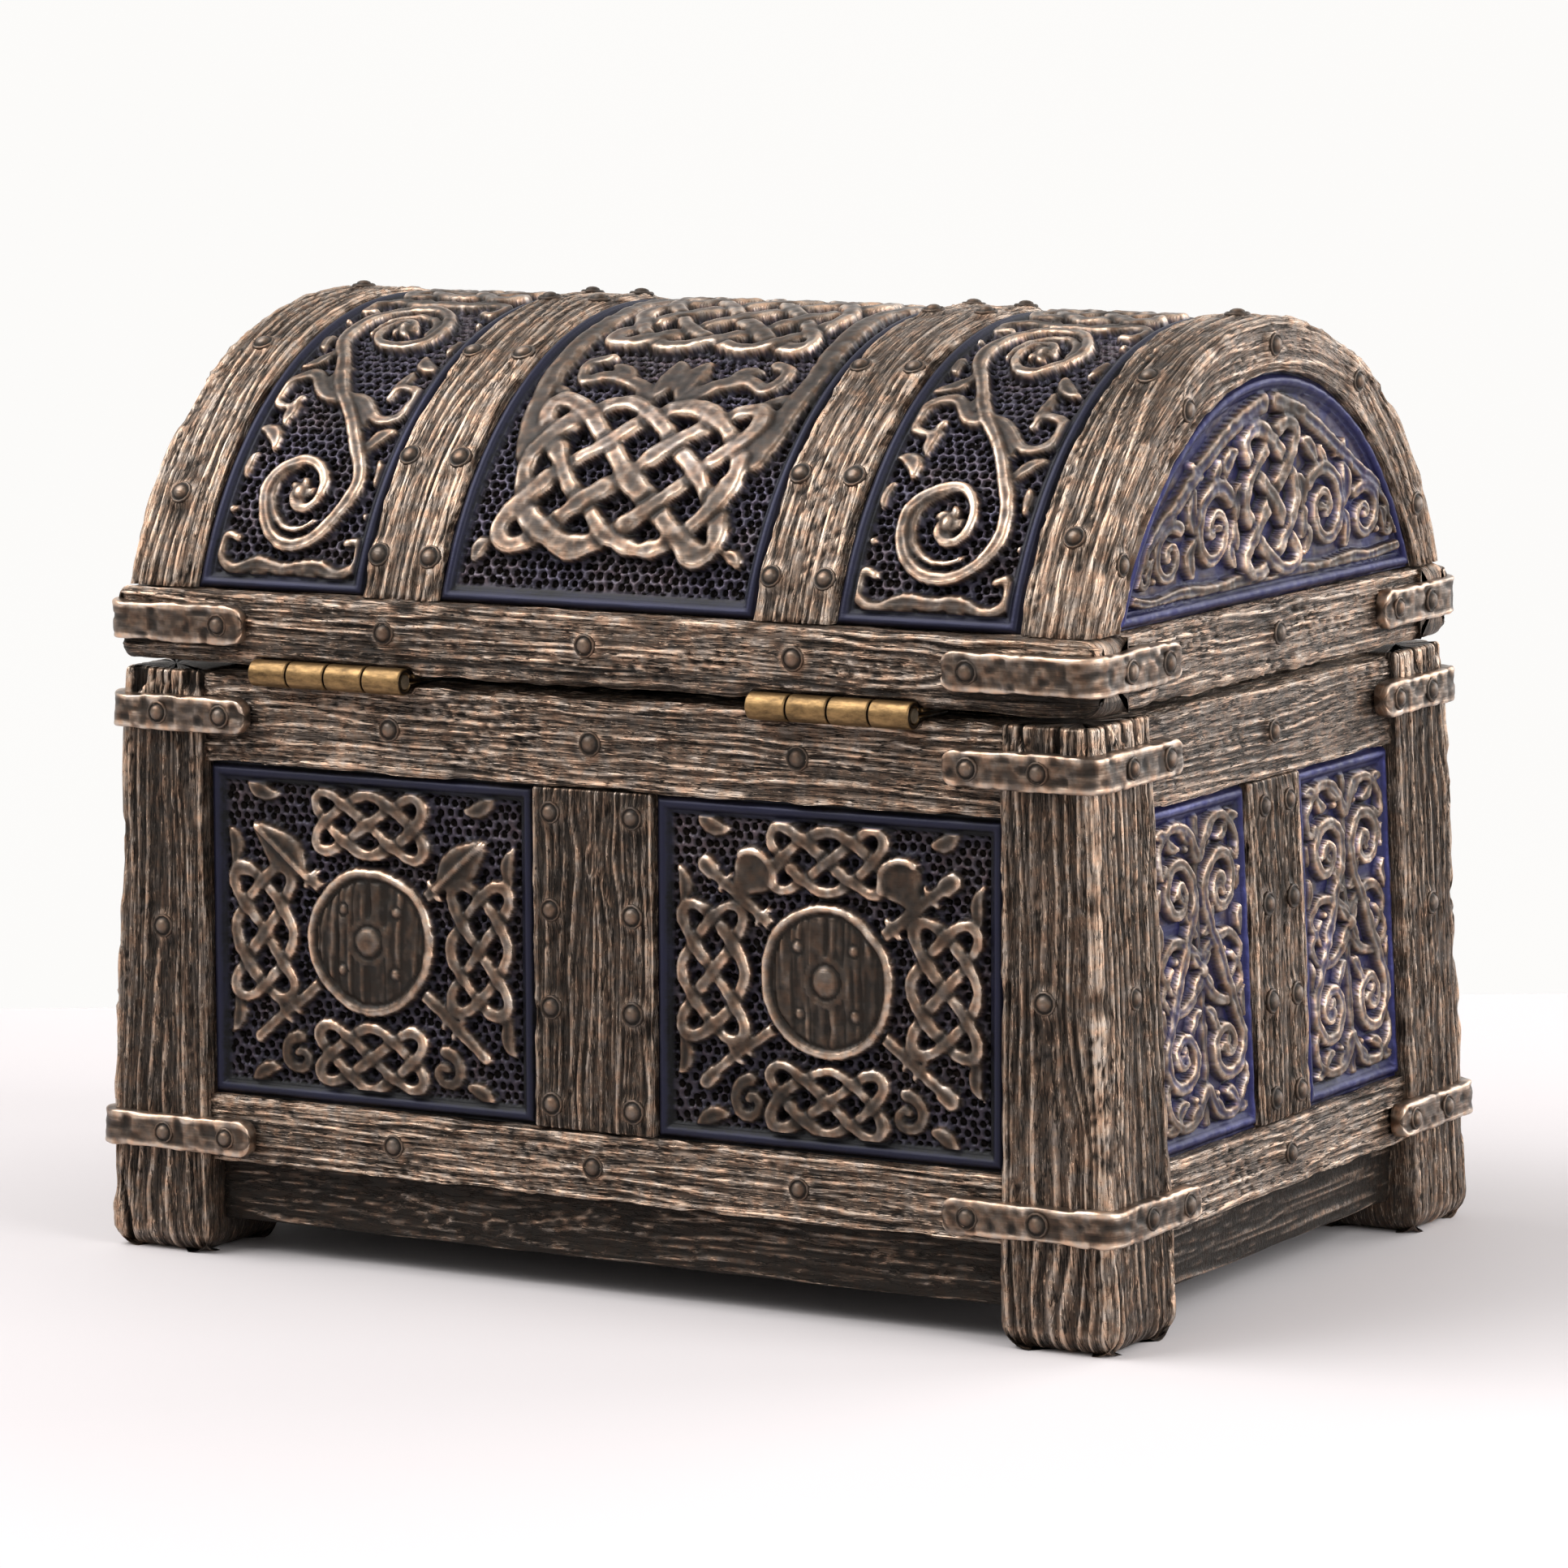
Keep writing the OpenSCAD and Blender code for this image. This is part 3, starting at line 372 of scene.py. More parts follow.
def tube(rings):
    """Faces of a closed skin over rings[i, j], point j of the outline at station i: quads between neighbours, and at
    both ends a fan to the mean of the last outline. Gives points, quads and triangles."""
    m, n = rings.shape[:2]
    i, j = np.meshgrid(np.arange(m - 1), np.arange(n), indexing="ij")
    k = (j + 1) % n
    quads = np.stack([i * n + j, i * n + k, (i + 1) * n + k, (i + 1) * n + j], -1).reshape(-1, 4)
    points = np.concatenate([rings.reshape(-1, 3), rings[:1].mean(1), rings[-1:].mean(1)])
    j = np.arange(n)
    k = (j + 1) % n
    low, high = np.full(n, m * n), np.full(n, m * n + 1)
    last = (m - 1) * n
    tris = np.concatenate([np.stack([low, k, j], 1), np.stack([high, last + j, last + k], 1)])
    return points, quads, tris


def with_ends(field, first, last):
    """An attribute of a tube's rings, flattened, with a value for the middle of each end."""
    return np.concatenate([field.ravel(), [first, last]])


def volume(points, quads, tris):
    """Signed volume: the sum over triangles of a · (b × c) / 6."""
    t = np.concatenate([quads[:, [0, 1, 2]], quads[:, [0, 2, 3]], tris])
    a, b, c = points[t[:, 0]], points[t[:, 1]], points[t[:, 2]]
    return np.einsum("ij,ij->i", a, np.cross(b, c)).sum() / 6


def gather(parts):
    """Joins closed skins: each part is (points, quads, tris, attributes). A skin that is inside out is turned."""
    points, quads, tris, fields, base = [], [], [], {}, 0
    for p, q, t, f in parts:
        if volume(p - p.mean(0), q, t) < 0:
            q, t = q[:, ::-1], t[:, ::-1]
        points.append(p)
        quads.append(q + base)
        tris.append(t + base)
        base += len(p)
        for key, value in f.items():
            fields.setdefault(key, []).append(value)
    return np.concatenate(points), np.concatenate(quads), np.concatenate(tris), {
        k: np.concatenate(v) for k, v in fields.items()
    }


def add_piece(name, parts, material, body, nodes):
    """Makes one mesh object at the origin from closed skins in millimetres, attaches it to its body, and hides the
    nodes that it stands for.
    """
    points, quads, tris, fields = gather(parts)
    mesh = bpy.data.meshes.new(name)
    mesh.vertices.add(len(points))
    mesh.vertices.foreach_set("co", (points / MM).astype(np.float32).ravel())
    loops = np.concatenate([quads.ravel(), tris.ravel()]).astype(np.int32)
    mesh.loops.add(len(loops))
    mesh.loops.foreach_set("vertex_index", loops)
    starts = np.concatenate([np.arange(len(quads)) * 4, 4 * len(quads) + np.arange(len(tris)) * 3])
    mesh.polygons.add(len(starts))
    mesh.polygons.foreach_set("loop_start", starts.astype(np.int32))
    mesh.polygons.foreach_set("use_smooth", np.ones(len(starts), bool))
    mesh.update(calc_edges=True)
    for key, value in fields.items():
        if value.ndim == 1:
            mesh.attributes.new(key, "FLOAT", "POINT").data.foreach_set("value", value.astype(np.float32))
        else:
            mesh.attributes.new(key, "FLOAT_VECTOR", "POINT").data.foreach_set(
                "vector", value.astype(np.float32).ravel()
            )
    obj = bpy.data.objects.new(name, mesh)
    bpy.context.scene.collection.objects.link(obj)
    mesh.materials.append(material)
    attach(obj, body)
    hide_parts(*nodes)
    return obj


def lean(p, c):
    """Leans an upright body outwards below the rim: x and y move out by their flare times the drop below the rim,
    fully at the outer faces and not at all at the upright inner faces."""
    p = p.copy()
    drop = (c.rim - p[..., 2]) / c.rim
    x, y = p[..., 0], p[..., 1]
    p[..., 0] = x + np.sign(x) * c.end_flare * drop * smooth(np.abs(x), c.inner_x + 0.5, c.inner_x + 4)
    p[..., 1] = y + np.sign(y) * c.side_flare * drop * smooth(np.abs(y), c.inner_y + 0.5, c.inner_y + 4)
    return p


def on_turn(turn, u, out, z):
    """A point of a wall: u along it and out from the middle, turned from the front wall's frame."""
    t = math.radians(turn)
    u, out, z = np.broadcast_arrays(u, out, z)
    return np.stack([u * math.cos(t) + out * math.sin(t), u * math.sin(t) - out * math.cos(t), z], -1)


# Rivets: where each one sits, and which way it points


def rivet_places(c):
    """Places and directions of the rivets by body, as on the CAD part."""
    body, lid = [], []

    def wall_rivet(turn, half, flare, z, u, step):
        """On a leaning wall: the face at height z, stepped out along its normal."""
        a = math.atan(flare / c.rim)
        out = half + flare * (c.rim - z) / c.rim + step * math.cos(a)
        body.append((on_turn(turn, u, out, z + step * math.sin(a)), on_turn(turn, 0, math.cos(a), math.sin(a))))

    for turn in (FRONT, REAR, LEFT, RIGHT):
        side = turn in LONG_WALLS
        half, flare = (c.half_w, c.side_flare) if side else (c.half_l, c.end_flare)
        tip = c.strap_x if side else c.strap_y
        pair = c.side_pair if side else c.end_pair
        middle = c.post_x + c.post_w / 2 if side else c.post_y + c.post_d / 2
        for s in (-1, 1):
            for z in (c.lower_z, c.upper_z):
                for u in (tip + c.tip_in, tip + c.tip_in + c.arm_gap):
                    wall_rivet(turn, half, flare, z, s * u, c.strap_t)
            wall_rivet(turn, half, flare, c.panel_mid, s * middle, 0)
            for z in np.linspace(c.panel_z0 + c.row_in, c.panel_z1 - c.row_in, 4):
                wall_rivet(turn, half, flare, z, s * pair / 2, -c.proud)
        for z in ((c.base_top + c.panel_z0) / 2, (c.panel_z1 + c.rim) / 2):
            for i in (-1, 0, 1) if side else (0,):
                wall_rivet(turn, half, flare, z, i * c.rail_pitch, -c.proud)
        edge = c.lid_w if side else c.lid_l
        mid_z = (c.lid_z + 1.2 + c.lid_top) / 2
        for i in (-1, 0, 1) if side else (0,):
            lid.append((on_turn(turn, i * c.rail_pitch, edge, mid_z), on_turn(turn, 0, 1, 0)))
        for s in (-1, 1):
            for u in (c.tip_in,) if side else (c.tip_in, c.tip_in + c.arm_gap):
                lid.append((on_turn(turn, s * (tip + u), edge + c.strap_t, c.lid_strap_z), on_turn(turn, 0, 1, 0)))

    def dome(x, angle, r):
        """On the arch at an angle from straight up."""
        a = math.radians(angle)
        return np.array([x, -r * math.sin(a), c.arch_z + r * math.cos(a)]), np.array([0, -math.sin(a), math.cos(a)])

    for sx in (-1, 1):
        for a in (-66, -50, -28, -6, 6, 28, 50, 66):
            for s in (-1, 1):
                lid.append(dome(sx * c.rib_x + s * c.rib_pair / 2, a, c.arch_r))
        for a in (-58, -28, 0, 28, 58):
            lid.append(dome(sx * (c.face_x - c.end_rib / 2), a, c.arch_r))
        for a in (-60, -30, 0, 30, 60):
            place, _ = dome(sx * c.face_x, a, (c.vault_r + c.arch_r) / 2)
            lid.append((place, np.array([sx, 0.0, 0.0])))
    return {"body": body, "lid": lid}


def clear_of(points, places):
    """0 within 1.25 mm of the middle of the nearest rivet, and 1 beyond 2.3 mm."""
    flat = points.reshape(-1, 3)
    best = np.full(len(flat), FAR)
    for place, _ in places:
        best = np.minimum(best, ((flat - place) ** 2).sum(1))
    return smooth(np.sqrt(best), 1.25, 2.3).reshape(points.shape[:-1])


# Wood members: an outline carried along the grain


def end_stations(a, b, step, r0, r1):
    """Stations from a to b about step apart, with a quarter turn's spacing over the rounding of each end.
    Gives the stations, and how far the outline draws in there."""
    q = np.array([0, 14, 28, 43, 58, 74, 90]) * math.pi / 180
    s0 = a + r0 * (1 - np.cos(q)) if r0 > 0 else np.array([a])
    s1 = b - r1 * (1 - np.cos(q[::-1])) if r1 > 0 else np.array([b])
    in0 = r0 * (1 - np.sin(q)) if r0 > 0 else np.zeros(1)
    in1 = r1 * (1 - np.sin(q[::-1])) if r1 > 0 else np.zeros(1)
    k = max(2, int(round((s1[0] - s0[-1]) / step)))
    mid = np.linspace(s0[-1], s1[0], k + 1)[1:-1]
    return np.concatenate([s0, mid, s1]), np.concatenate([in0, np.zeros(len(mid)), in1])


def member(shape, stations, inset, place, seed, c, rivets, extra=None, depth=1.0, all_round=True, underside_shade=0.0):
    """A carved member: point = outline point + normal * (-inset - grain), put in place for each station, and closed
    by a few shrinking rings at each end. extra is a further depth that a member cuts for itself. The grain fades near
    rivets and on hidden sides. relief is how far a point stands above its surroundings, plus a rub along the edges
    and less underside_shade, painted shade that the caller gives to the outline's points, such as a rail's lower edge;
    grain holds the places along and across, for the fine bump. Without all_round the ends are drawn in only on the
    carved, outer side."""
    s, q = np.meshgrid(stations, shape.q, indexing="ij")
    flat = place(s, np.broadcast_to(shape.p[:, 0], s.shape), np.broadcast_to(shape.p[:, 1], s.shape))
    free = clear_of(flat, rivets) if len(rivets) else np.ones_like(s)
    down = grain(s, q, seed, c) * depth * shape.on[None] * (0.3 + 0.7 * free)
    if extra is not None:
        down = down + extra(s, q) * shape.on[None]
    # Edges are worn down in long, shallow bites
    wear = 0.34 * smooth(noise(s / 3.4, q * 0 + seed, seed + 15), 0.5, 0.95) * np.exp(-(shape.edge / 0.7) ** 2)[None]
    down = down + wear * shape.on[None]
    carved = shape.on[None] > 0.05
    drawn = inset[:, None] * (all_round | carved)
    aside = shape.n[None, :, 0] if all_round else np.maximum(shape.n[None, :, 0], 0)
    a = shape.p[None, :, 0] - shape.n[None, :, 0] * down - aside * drawn
    b = shape.p[None, :, 1] - shape.n[None, :, 1] * (down + drawn)
    rings = place(s, a, b)
    # Surroundings reach about a millimetre along the grain, and four points across it
    step = max(1, int(round(1.0 / max(np.median(np.diff(stations)), 0.05))))
    above = blur(down, step, 4) - down
    rub = np.exp(-(shape.edge / 0.42) ** 2)[None] * shape.on[None] * (0.35 + 1.1 * noise(s / 3, q / 2, seed + 9))
    tip = (inset[:, None] > 0.02) * shape.on[None]
    rub = np.maximum(rub, 0.6 * np.exp(-((inset[:, None] - 0.15) / 0.3) ** 2) * tip)
    slow = noise(s / 16, q / 5, seed + 16) - 0.5
    relief = 0.42 + above * 2.1 + 0.36 * rub + 0.24 * slow
    # Painted shade: the given points of the outline, such as the lower edge of the lid rails, are darkened with a slow
    # noise
    relief = relief - 0.10 * (1 - free) - underside_shade * (0.5 + noise(s / 7, q / 3, seed + 18))
    relief = np.where(carved, relief, PLAIN)
    middles = rings[0].mean(0), rings[-1].mean(0)
    first, last = ([m + (rings[i] - m) * f for f in (0.93, 0.7, 0.4)] for i, m in zip((0, -1), middles))
    rings = np.concatenate([first[::-1], rings, last])
    cap = 0.36 + 0.36 * (noise(shape.q / 0.7, shape.q * 0 + 3, seed + 17)[None] - 0.5)
    relief = np.concatenate([cap] * CAP_RINGS + [relief] + [cap] * CAP_RINGS)
    s, q = (np.pad(a, ((CAP_RINGS, CAP_RINGS), (0, 0)), mode="edge") for a in (s, q))
    points, quads, tris = tube(rings)
    along = with_ends(s, s[0, 0], s[-1, 0])
    across = with_ends(q, q.mean(), q.mean())
    fields = {
        "relief": with_ends(np.clip(relief, 0, 1.2), PLAIN, PLAIN),
        "paint": np.zeros(len(points)),
        "grain": np.stack([along, across + seed, np.zeros_like(along)], 1),
    }
    return points, quads, tris, fields


def add_carved(name, part, material, body):
    """Adds a carved member in place of the node of that name."""
    add_piece(f"{name}_carved", [part], material, body, [name])


def rectangle(a0, b0, a1, b1, radii, steps, live):
    """Outline of a rectangle from (a0, b0) to (a1, b1): its sides run low, right, top, left."""
    return outline([(a0, b0), (a1, b0), (a1, b1), (a0, b1)], radii, steps, live)


def seed_of(name):
    """A fixed number for a name: the sum of its letters' codes, each times its place."""
    return sum((i + 1) * ord(ch) for i, ch in enumerate(name)) % 9973 + 11


# Relief panels: a height over a grid of two coordinates


def resample(path, step=LINE_STEP):
    """The same line with evenly spaced points."""
    path = np.asarray(path, float)
    run = run_along(path)
    at = np.linspace(0, run[-1], max(3, int(run[-1] / step) + 1))
    return np.stack([np.interp(at, run, path[:, 0]), np.interp(at, run, path[:, 1])], 1)


def nearest_on(field, path, reach):
    """Distance of the grid's points to a line, and the place along it in points, stretch by stretch."""
    best = np.full(field.x.shape, FAR)
    at = np.zeros(field.x.shape)
    for k in range(0, len(path) - 1, 20):
        part = path[k:k + 21]
        lo, hi = part.min(0) - reach, part.max(0) + reach
        near = (field.x > lo[0]) & (field.x < hi[0]) & (field.y > lo[1]) & (field.y < hi[1])
        if not near.any():
            continue
        px, py = field.x[near][:, None], field.y[near][:, None]
        a, d = part[:-1], np.diff(part, axis=0)
        t = np.clip(((px - a[:, 0]) * d[:, 0] + (py - a[:, 1]) * d[:, 1]) / np.maximum((d ** 2).sum(1), 1e-9), 0, 1)
        gap = np.hypot(px - a[:, 0] - t * d[:, 0], py - a[:, 1] - t * d[:, 1])
        pick = gap.argmin(1)
        rows = np.arange(len(pick))
        gap, where = gap[rows, pick], k + pick + t[rows, pick]
        old = best[near]
        at[near] = np.where(gap < old, where, at[near])
        best[near] = np.minimum(gap, old)
    return best, at


def band(field, path, half, crown, lift, vein=0.0):
    """Lays a raised strand along a line. Its section is lift + crown (1 - 0.45 t⁶) with t the distance over the half
    width, a flat ribbon with rounded edges, and a groove of depth vein down the middle. Where strands meet the higher
    one shows."""
    half = np.broadcast_to(np.asarray(half, float), (len(path),))
    lift = np.broadcast_to(np.asarray(lift, float), (len(path),))
    dist, at = nearest_on(field, path, half.max() + 0.3)
    index = np.arange(len(path))
    w = np.maximum(np.interp(at.ravel(), index, half).reshape(at.shape), 0.05)
    t = np.minimum(dist / w, 1.5)
    up = np.interp(at.ravel(), index, lift).reshape(at.shape) + crown * (1 - 0.45 * t ** 6)
    up = up - vein * np.exp(-(dist / (0.26 * w + 0.05)) ** 2) * smooth(1 - t, 0, 0.6)
    show = (t < 1) & (up > field.h)
    field.h = np.where(show, up, field.h)
    field.metal = np.where(show, 1.0, field.metal)


def taper(field, path, first, last, crown, lift, vein=0.0):
    """A raised strand whose half width goes evenly from one end of its line to the other."""
    band(field, path, np.linspace(first, last, len(path)), crown, lift, vein)


def disc(field, cx, cy, r, height, dome):
    """A round plate of radius r: height + dome (1 - (distance / r)²)."""
    d = np.hypot(field.x - cx, field.y - cy)
    up = height + dome * (1 - (d / r) ** 2)
    show = (d < r) & (up > field.h)
    field.h = np.where(show, up, field.h)
    field.metal = np.where(show, 1.0, field.metal)


def spiral(cx, cy, r_out, r_in, start, turns, hand):
    """From the rim inwards: centre + r (cos a, sin a), a = start + hand 2 pi turns t, r falling evenly."""
    t = np.linspace(0, 1, 160)
    a = start + hand * TAU * turns * t
    r = r_out + (r_in - r_out) * t
    return resample(np.stack([cx + r * np.cos(a), cy + r * np.sin(a)], 1))


def s_scroll(x0, y0, x1, y1, r, r_in, turns, hand):
    """A line that unwinds from the first centre, crosses over as the inner tangent of both circles, and winds into
    the second. The tangent leans from the centre line by the angle whose sine is 2 r / distance."""
    dist = math.hypot(x1 - x0, y1 - y0)
    beta = math.asin(min(2 * r / dist, 0.98))
    first = spiral(0, 0, r, r_in, beta, turns, -1)[::-1]
    second = spiral(0, dist, r, r_in, beta + math.pi, turns, -1)
    path = np.concatenate([first, second])
    path[:, 0] *= hand
    dx, dy = (x1 - x0) / dist, (y1 - y0) / dist
    return resample(np.stack([x0 + path[:, 0] * dy + path[:, 1] * dx, y0 - path[:, 0] * dx + path[:, 1] * dy], 1))


def weave_line(cx, cy, a, b, p, q, square):
    """A closed lace: x = a T(p t + phase), y = b T(q t), where T is a sine squared off towards a zigzag by
    asin(k sin) / asin(k). The phase keeps it from running back on itself: pi / 2 q for two odd numbers, else none.
    It starts at t = 0.3, away from its crossings."""
    t = np.linspace(0.3, 0.3 + TAU, 1200)
    zig = lambda v: np.arcsin(square * np.sin(v)) / math.asin(square)
    phase = math.pi / (2 * q) if p * q % 2 else 0.0
    return resample(np.stack([cx + a * zig(p * t + phase), cy + b * zig(q * t)], 1))


def curve(points, sx=1, sy=1, x0=0.0, y0=0.0):
    """A smooth line by Catmull-Rom pieces through (x0 + sx x, y0 + sy y) of its points."""
    p = np.asarray(points, float) * (sx, sy) + (x0, y0)
    p = np.concatenate([[2 * p[0] - p[1]], p, [2 * p[-1] - p[-2]]])
    out = []
    t = np.linspace(0, 1, 24, endpoint=False)[:, None]
    for a, b, d, e in zip(p[:-3], p[1:-2], p[2:-1], p[3:]):
        square, cube = (2 * a - 5 * b + 4 * d - e) * t ** 2, (3 * b - a - 3 * d + e) * t ** 3
        out.append(0.5 * (2 * b + (d - a) * t + square + cube))
    return resample(np.concatenate(out + [p[-2:-1]]))


def crossings(line):
    """Where a closed line crosses itself: for each pair of segments, both crossing fractions lie within 0 and 1.
    Neighbours are left out, also round the line's ends. Gives the places of both visits."""
    p, r = line[:-1], np.diff(line, axis=0)
    denom = r[:, None, 0] * r[None, :, 1] - r[:, None, 1] * r[None, :, 0]
    dx, dy = p[None, :, 0] - p[:, None, 0], p[None, :, 1] - p[:, None, 1]
    denom = np.where(np.abs(denom) < 1e-9, 1e-9, denom)
    t = (dx * r[None, :, 1] - dy * r[None, :, 0]) / denom
    u = (dx * r[:, None, 1] - dy * r[:, None, 0]) / denom
    i, j = np.nonzero((t >= 0) & (t < 1) & (u >= 0) & (u < 1))
    keep = (j - i > 3) & (j - i < len(p) - 4)
    i, j = i[keep], j[keep]
    return i + t[i, j], j + u[i, j]


def wobble(line, low, high, seed):
    """Half widths along a line that wander between low and high: noise of the place along it, the same at both ends
    of a closed line."""
    n = len(line)
    t = np.linspace(0, TAU, n)
    return low + (high - low) * noise(3 + 2.6 * np.cos(t) + n / 90 * np.sin(2 * t), 5 + 2.6 * np.sin(t), seed)


def lace(field, line, half, crown, lift, vein):
    """Lays a closed line that passes over and under itself in turn. Its crossings are sorted along it and take signs
    in turn, and the two visits of one crossing take opposite signs. The strand lies level, and dips by twice the lift
    over a bell round each crossing where it goes under. It is laid in stretches with one crossing each, so that the
    higher strand shows at every crossing."""
    pairs = zip(*crossings(line))
    visits = sorted(((at, pair) for pair, both in enumerate(pairs) for at in both), key=lambda v: v[0])
    signs, under = {}, []
    for n, (at, pair) in enumerate(visits):
        signs[pair] = -signs[pair] if pair in signs else (-1) ** n
        if signs[pair] < 0:
            under.append(at)
    level = np.ones(len(line))
    if under:
        gap = np.abs(np.arange(len(line))[:, None] - np.array(under)[None])
        gap = np.minimum(gap, len(line) - 1 - gap)
        level = 1 - np.exp(-(gap / (1.15 * half[:, None] / LINE_STEP + 0.8)) ** 4).max(1)
    at = [v[0] for v in visits]
    cuts = [0] + [int((a + b) / 2) for a, b in zip(at[:-1], at[1:])] + [len(line) - 1]
    for a, b in zip(cuts[:-1], cuts[1:]):
        part = slice(a, b + 2)
        band(field, line[part], half[part], crown, 2 * lift * level[part], vein)


def leaf(field, x, y, angle, size, bend, wide, crown):
    """A small curled leaf: an arc whose strand swells to the middle and runs out to a point."""
    t = np.linspace(0, 1, 40)
    a = angle + bend * (t - 0.2) * 2.2
    path = np.stack([x + size * np.cumsum(np.cos(a)) / 40, y + size * np.cumsum(np.sin(a)) / 40], 1)
    path = resample(path, 0.2)
    t = np.linspace(0, 1, len(path))
    band(field, path, size * wide * np.sin(math.pi * (0.12 + 0.86 * t)) ** 0.8 + 0.06, crown, 0.0, 0.12)


def leaves(field, sx, sy, rows, y0=0.0):
    """Mirrored leaves: each row is (x, y, direction x, direction y, size, bend, width, crown)."""
    for x, y, dx, dy, size, bend, wide, crown in rows:
        leaf(field, sx * x, y0 + sy * y, math.atan2(sy * dy, sx * dx), size, bend * sx * sy, wide, crown)


def new_field(x, y, seed, sway):
    """A flat ground over a grid. Designs are drawn on coordinates that sway a little, by noise, as a carver's do."""
    sway_x, sway_y = (sway * (noise(x / 5.5, y / 5.5, seed + k) - 0.5) * 2 for k in (31, 32))
    zero = np.zeros_like(x)
    return SimpleNamespace(x=x + sway_x, y=y + sway_y, flat_x=x, flat_y=y, h=zero, metal=zero, pit=zero, pitted=False)


def pitted(field, c, seed):
    """Sinks a honeycomb of round pits into the bare ground: a bowl over the distance to the nearest lattice point.
    pit is that distance turned into a cone, from which the finish paints the shade in the mouth of each pit."""
    x, y = field.flat_x, field.flat_y
    bare = 1 - np.clip(blur(field.metal, 1, 1) * 1.25, 0, 1)
    d, own = nearest_cell(x, y, c.pit_pitch, seed)
    cone = np.clip(1 - d / (c.pit_pitch * (0.50 + 0.08 * own)), 0, 1)
    field.pit, field.pitted = cone * bare, True
    field.h = 0.45 * field.h + 0.55 * blur(field.h, 1, 1)
    field.h = field.h - bare * (c.pit_depth * smooth(cone, 0.15, 0.5) - 0.05 * noise(x, y, seed + 3))


def framed(field, edge, c):
    """A moulding round the panel, from the distance to its edge: a groove, a rounded bead, and a low step inside."""
    w = c.moulding
    round_off = np.sqrt(np.maximum(1 - ((edge - 0.44 * w) / (0.34 * w)) ** 2, 0))
    bead = 0.22 + 0.66 * round_off
    step = np.where(edge > 0.80 * w, 0.34, bead)
    inside = edge < 1.02 * w
    field.frame = 1 - smooth(edge, 0.98 * w, 1.06 * w)
    field.h = np.where(inside, np.where(edge < 0.08 * w, 0.12, step), field.h)
    field.metal = field.metal * (1 - field.frame)
    field.bead = np.where(inside, np.where(edge > 0.80 * w, 0.35, round_off), 0)
    field.pit = field.pit * (1 - field.frame)


def finish_relief(field, seed, painted, rub=0.2, wash=0.0, gain=1.35):
    """Tool marks, and the attributes. On the carving, relief starts from rub and adds gain times the height above
    the near surroundings, a little of that above the wide ones, and the height itself; the ground and the moulding
    have sums of their own, and a slow noise drifts over all. paint is 1 on the moulding and painted on the ground,
    where noise thins it, and up to wash in the hollows of the carving."""
    x, y = field.flat_x, field.flat_y
    tool = noise(x / 1.3, y / 1.3, seed + 5) - 0.5 + 0.35 * (noise(x / 0.55, y / 0.55, seed + 6) - 0.5)
    field.h = field.h + tool * ((0.03 if field.pitted else 0.14) + 0.16 * field.metal)
    near = field.h - blur(field.h, 2, 2)
    wide = field.h - blur(field.h, 10, 10)
    slow = noise(x / 6, y / 6, seed + 8) - 0.5
    relief = rub + gain * near + 0.12 * wide + 0.32 * (field.h - 1.0) + 0.13 + 0.20 * slow
    relief = np.where(field.metal > 0.5, relief, 0.30 + 0.3 * rub + 0.7 * near + 0.1 * slow)
    relief = np.where(field.frame > 0.5, rub + 0.30 * field.bead ** 2 + 0.16 * slow, relief)
    if field.pitted:
        thin = 0.80 + 0.20 * smooth(noise(x / 4.5, y / 4.5, seed + 9), 0.3, 0.6)
    else:
        thin = 0.15 + 0.85 * smooth(noise(x / 1.8, y / 1.8, seed + 9), 0.30, 0.62)
    paint = np.maximum(field.frame, painted * thin * (1 - field.metal))
    paint = np.maximum(paint, wash * smooth(0.10 + 0.3 * slow - near, 0.0, 0.22))
    return np.clip(relief, 0, 1.2), np.clip(paint, 0, 1)


def slab(front, back, relief, paint, pit, grain_at):
    """A closed slab from a grid of front points and the same grid's points on the back: stations run along the first
    axis, and each outline goes up the front and down the back."""
    rings = np.concatenate([front, back[:, ::-1]], 1)
    pad = back.shape[1]
    points, quads, tris = tube(rings)

    def both(f, value):
        return with_ends(np.concatenate([f, np.full((len(f), pad), value)], 1), value, value)

    along = both(grain_at[0], 0.0)
    return points, quads, tris, {
        "relief": both(relief, PLAIN), "paint": both(paint, 0.0), "pit": both(pit, 0.0),
        "grain": np.stack([along, both(grain_at[1], 0.0), np.zeros_like(along)], 1),
    }


# Designs of the reliefs: plain interlace, scrolls and shields


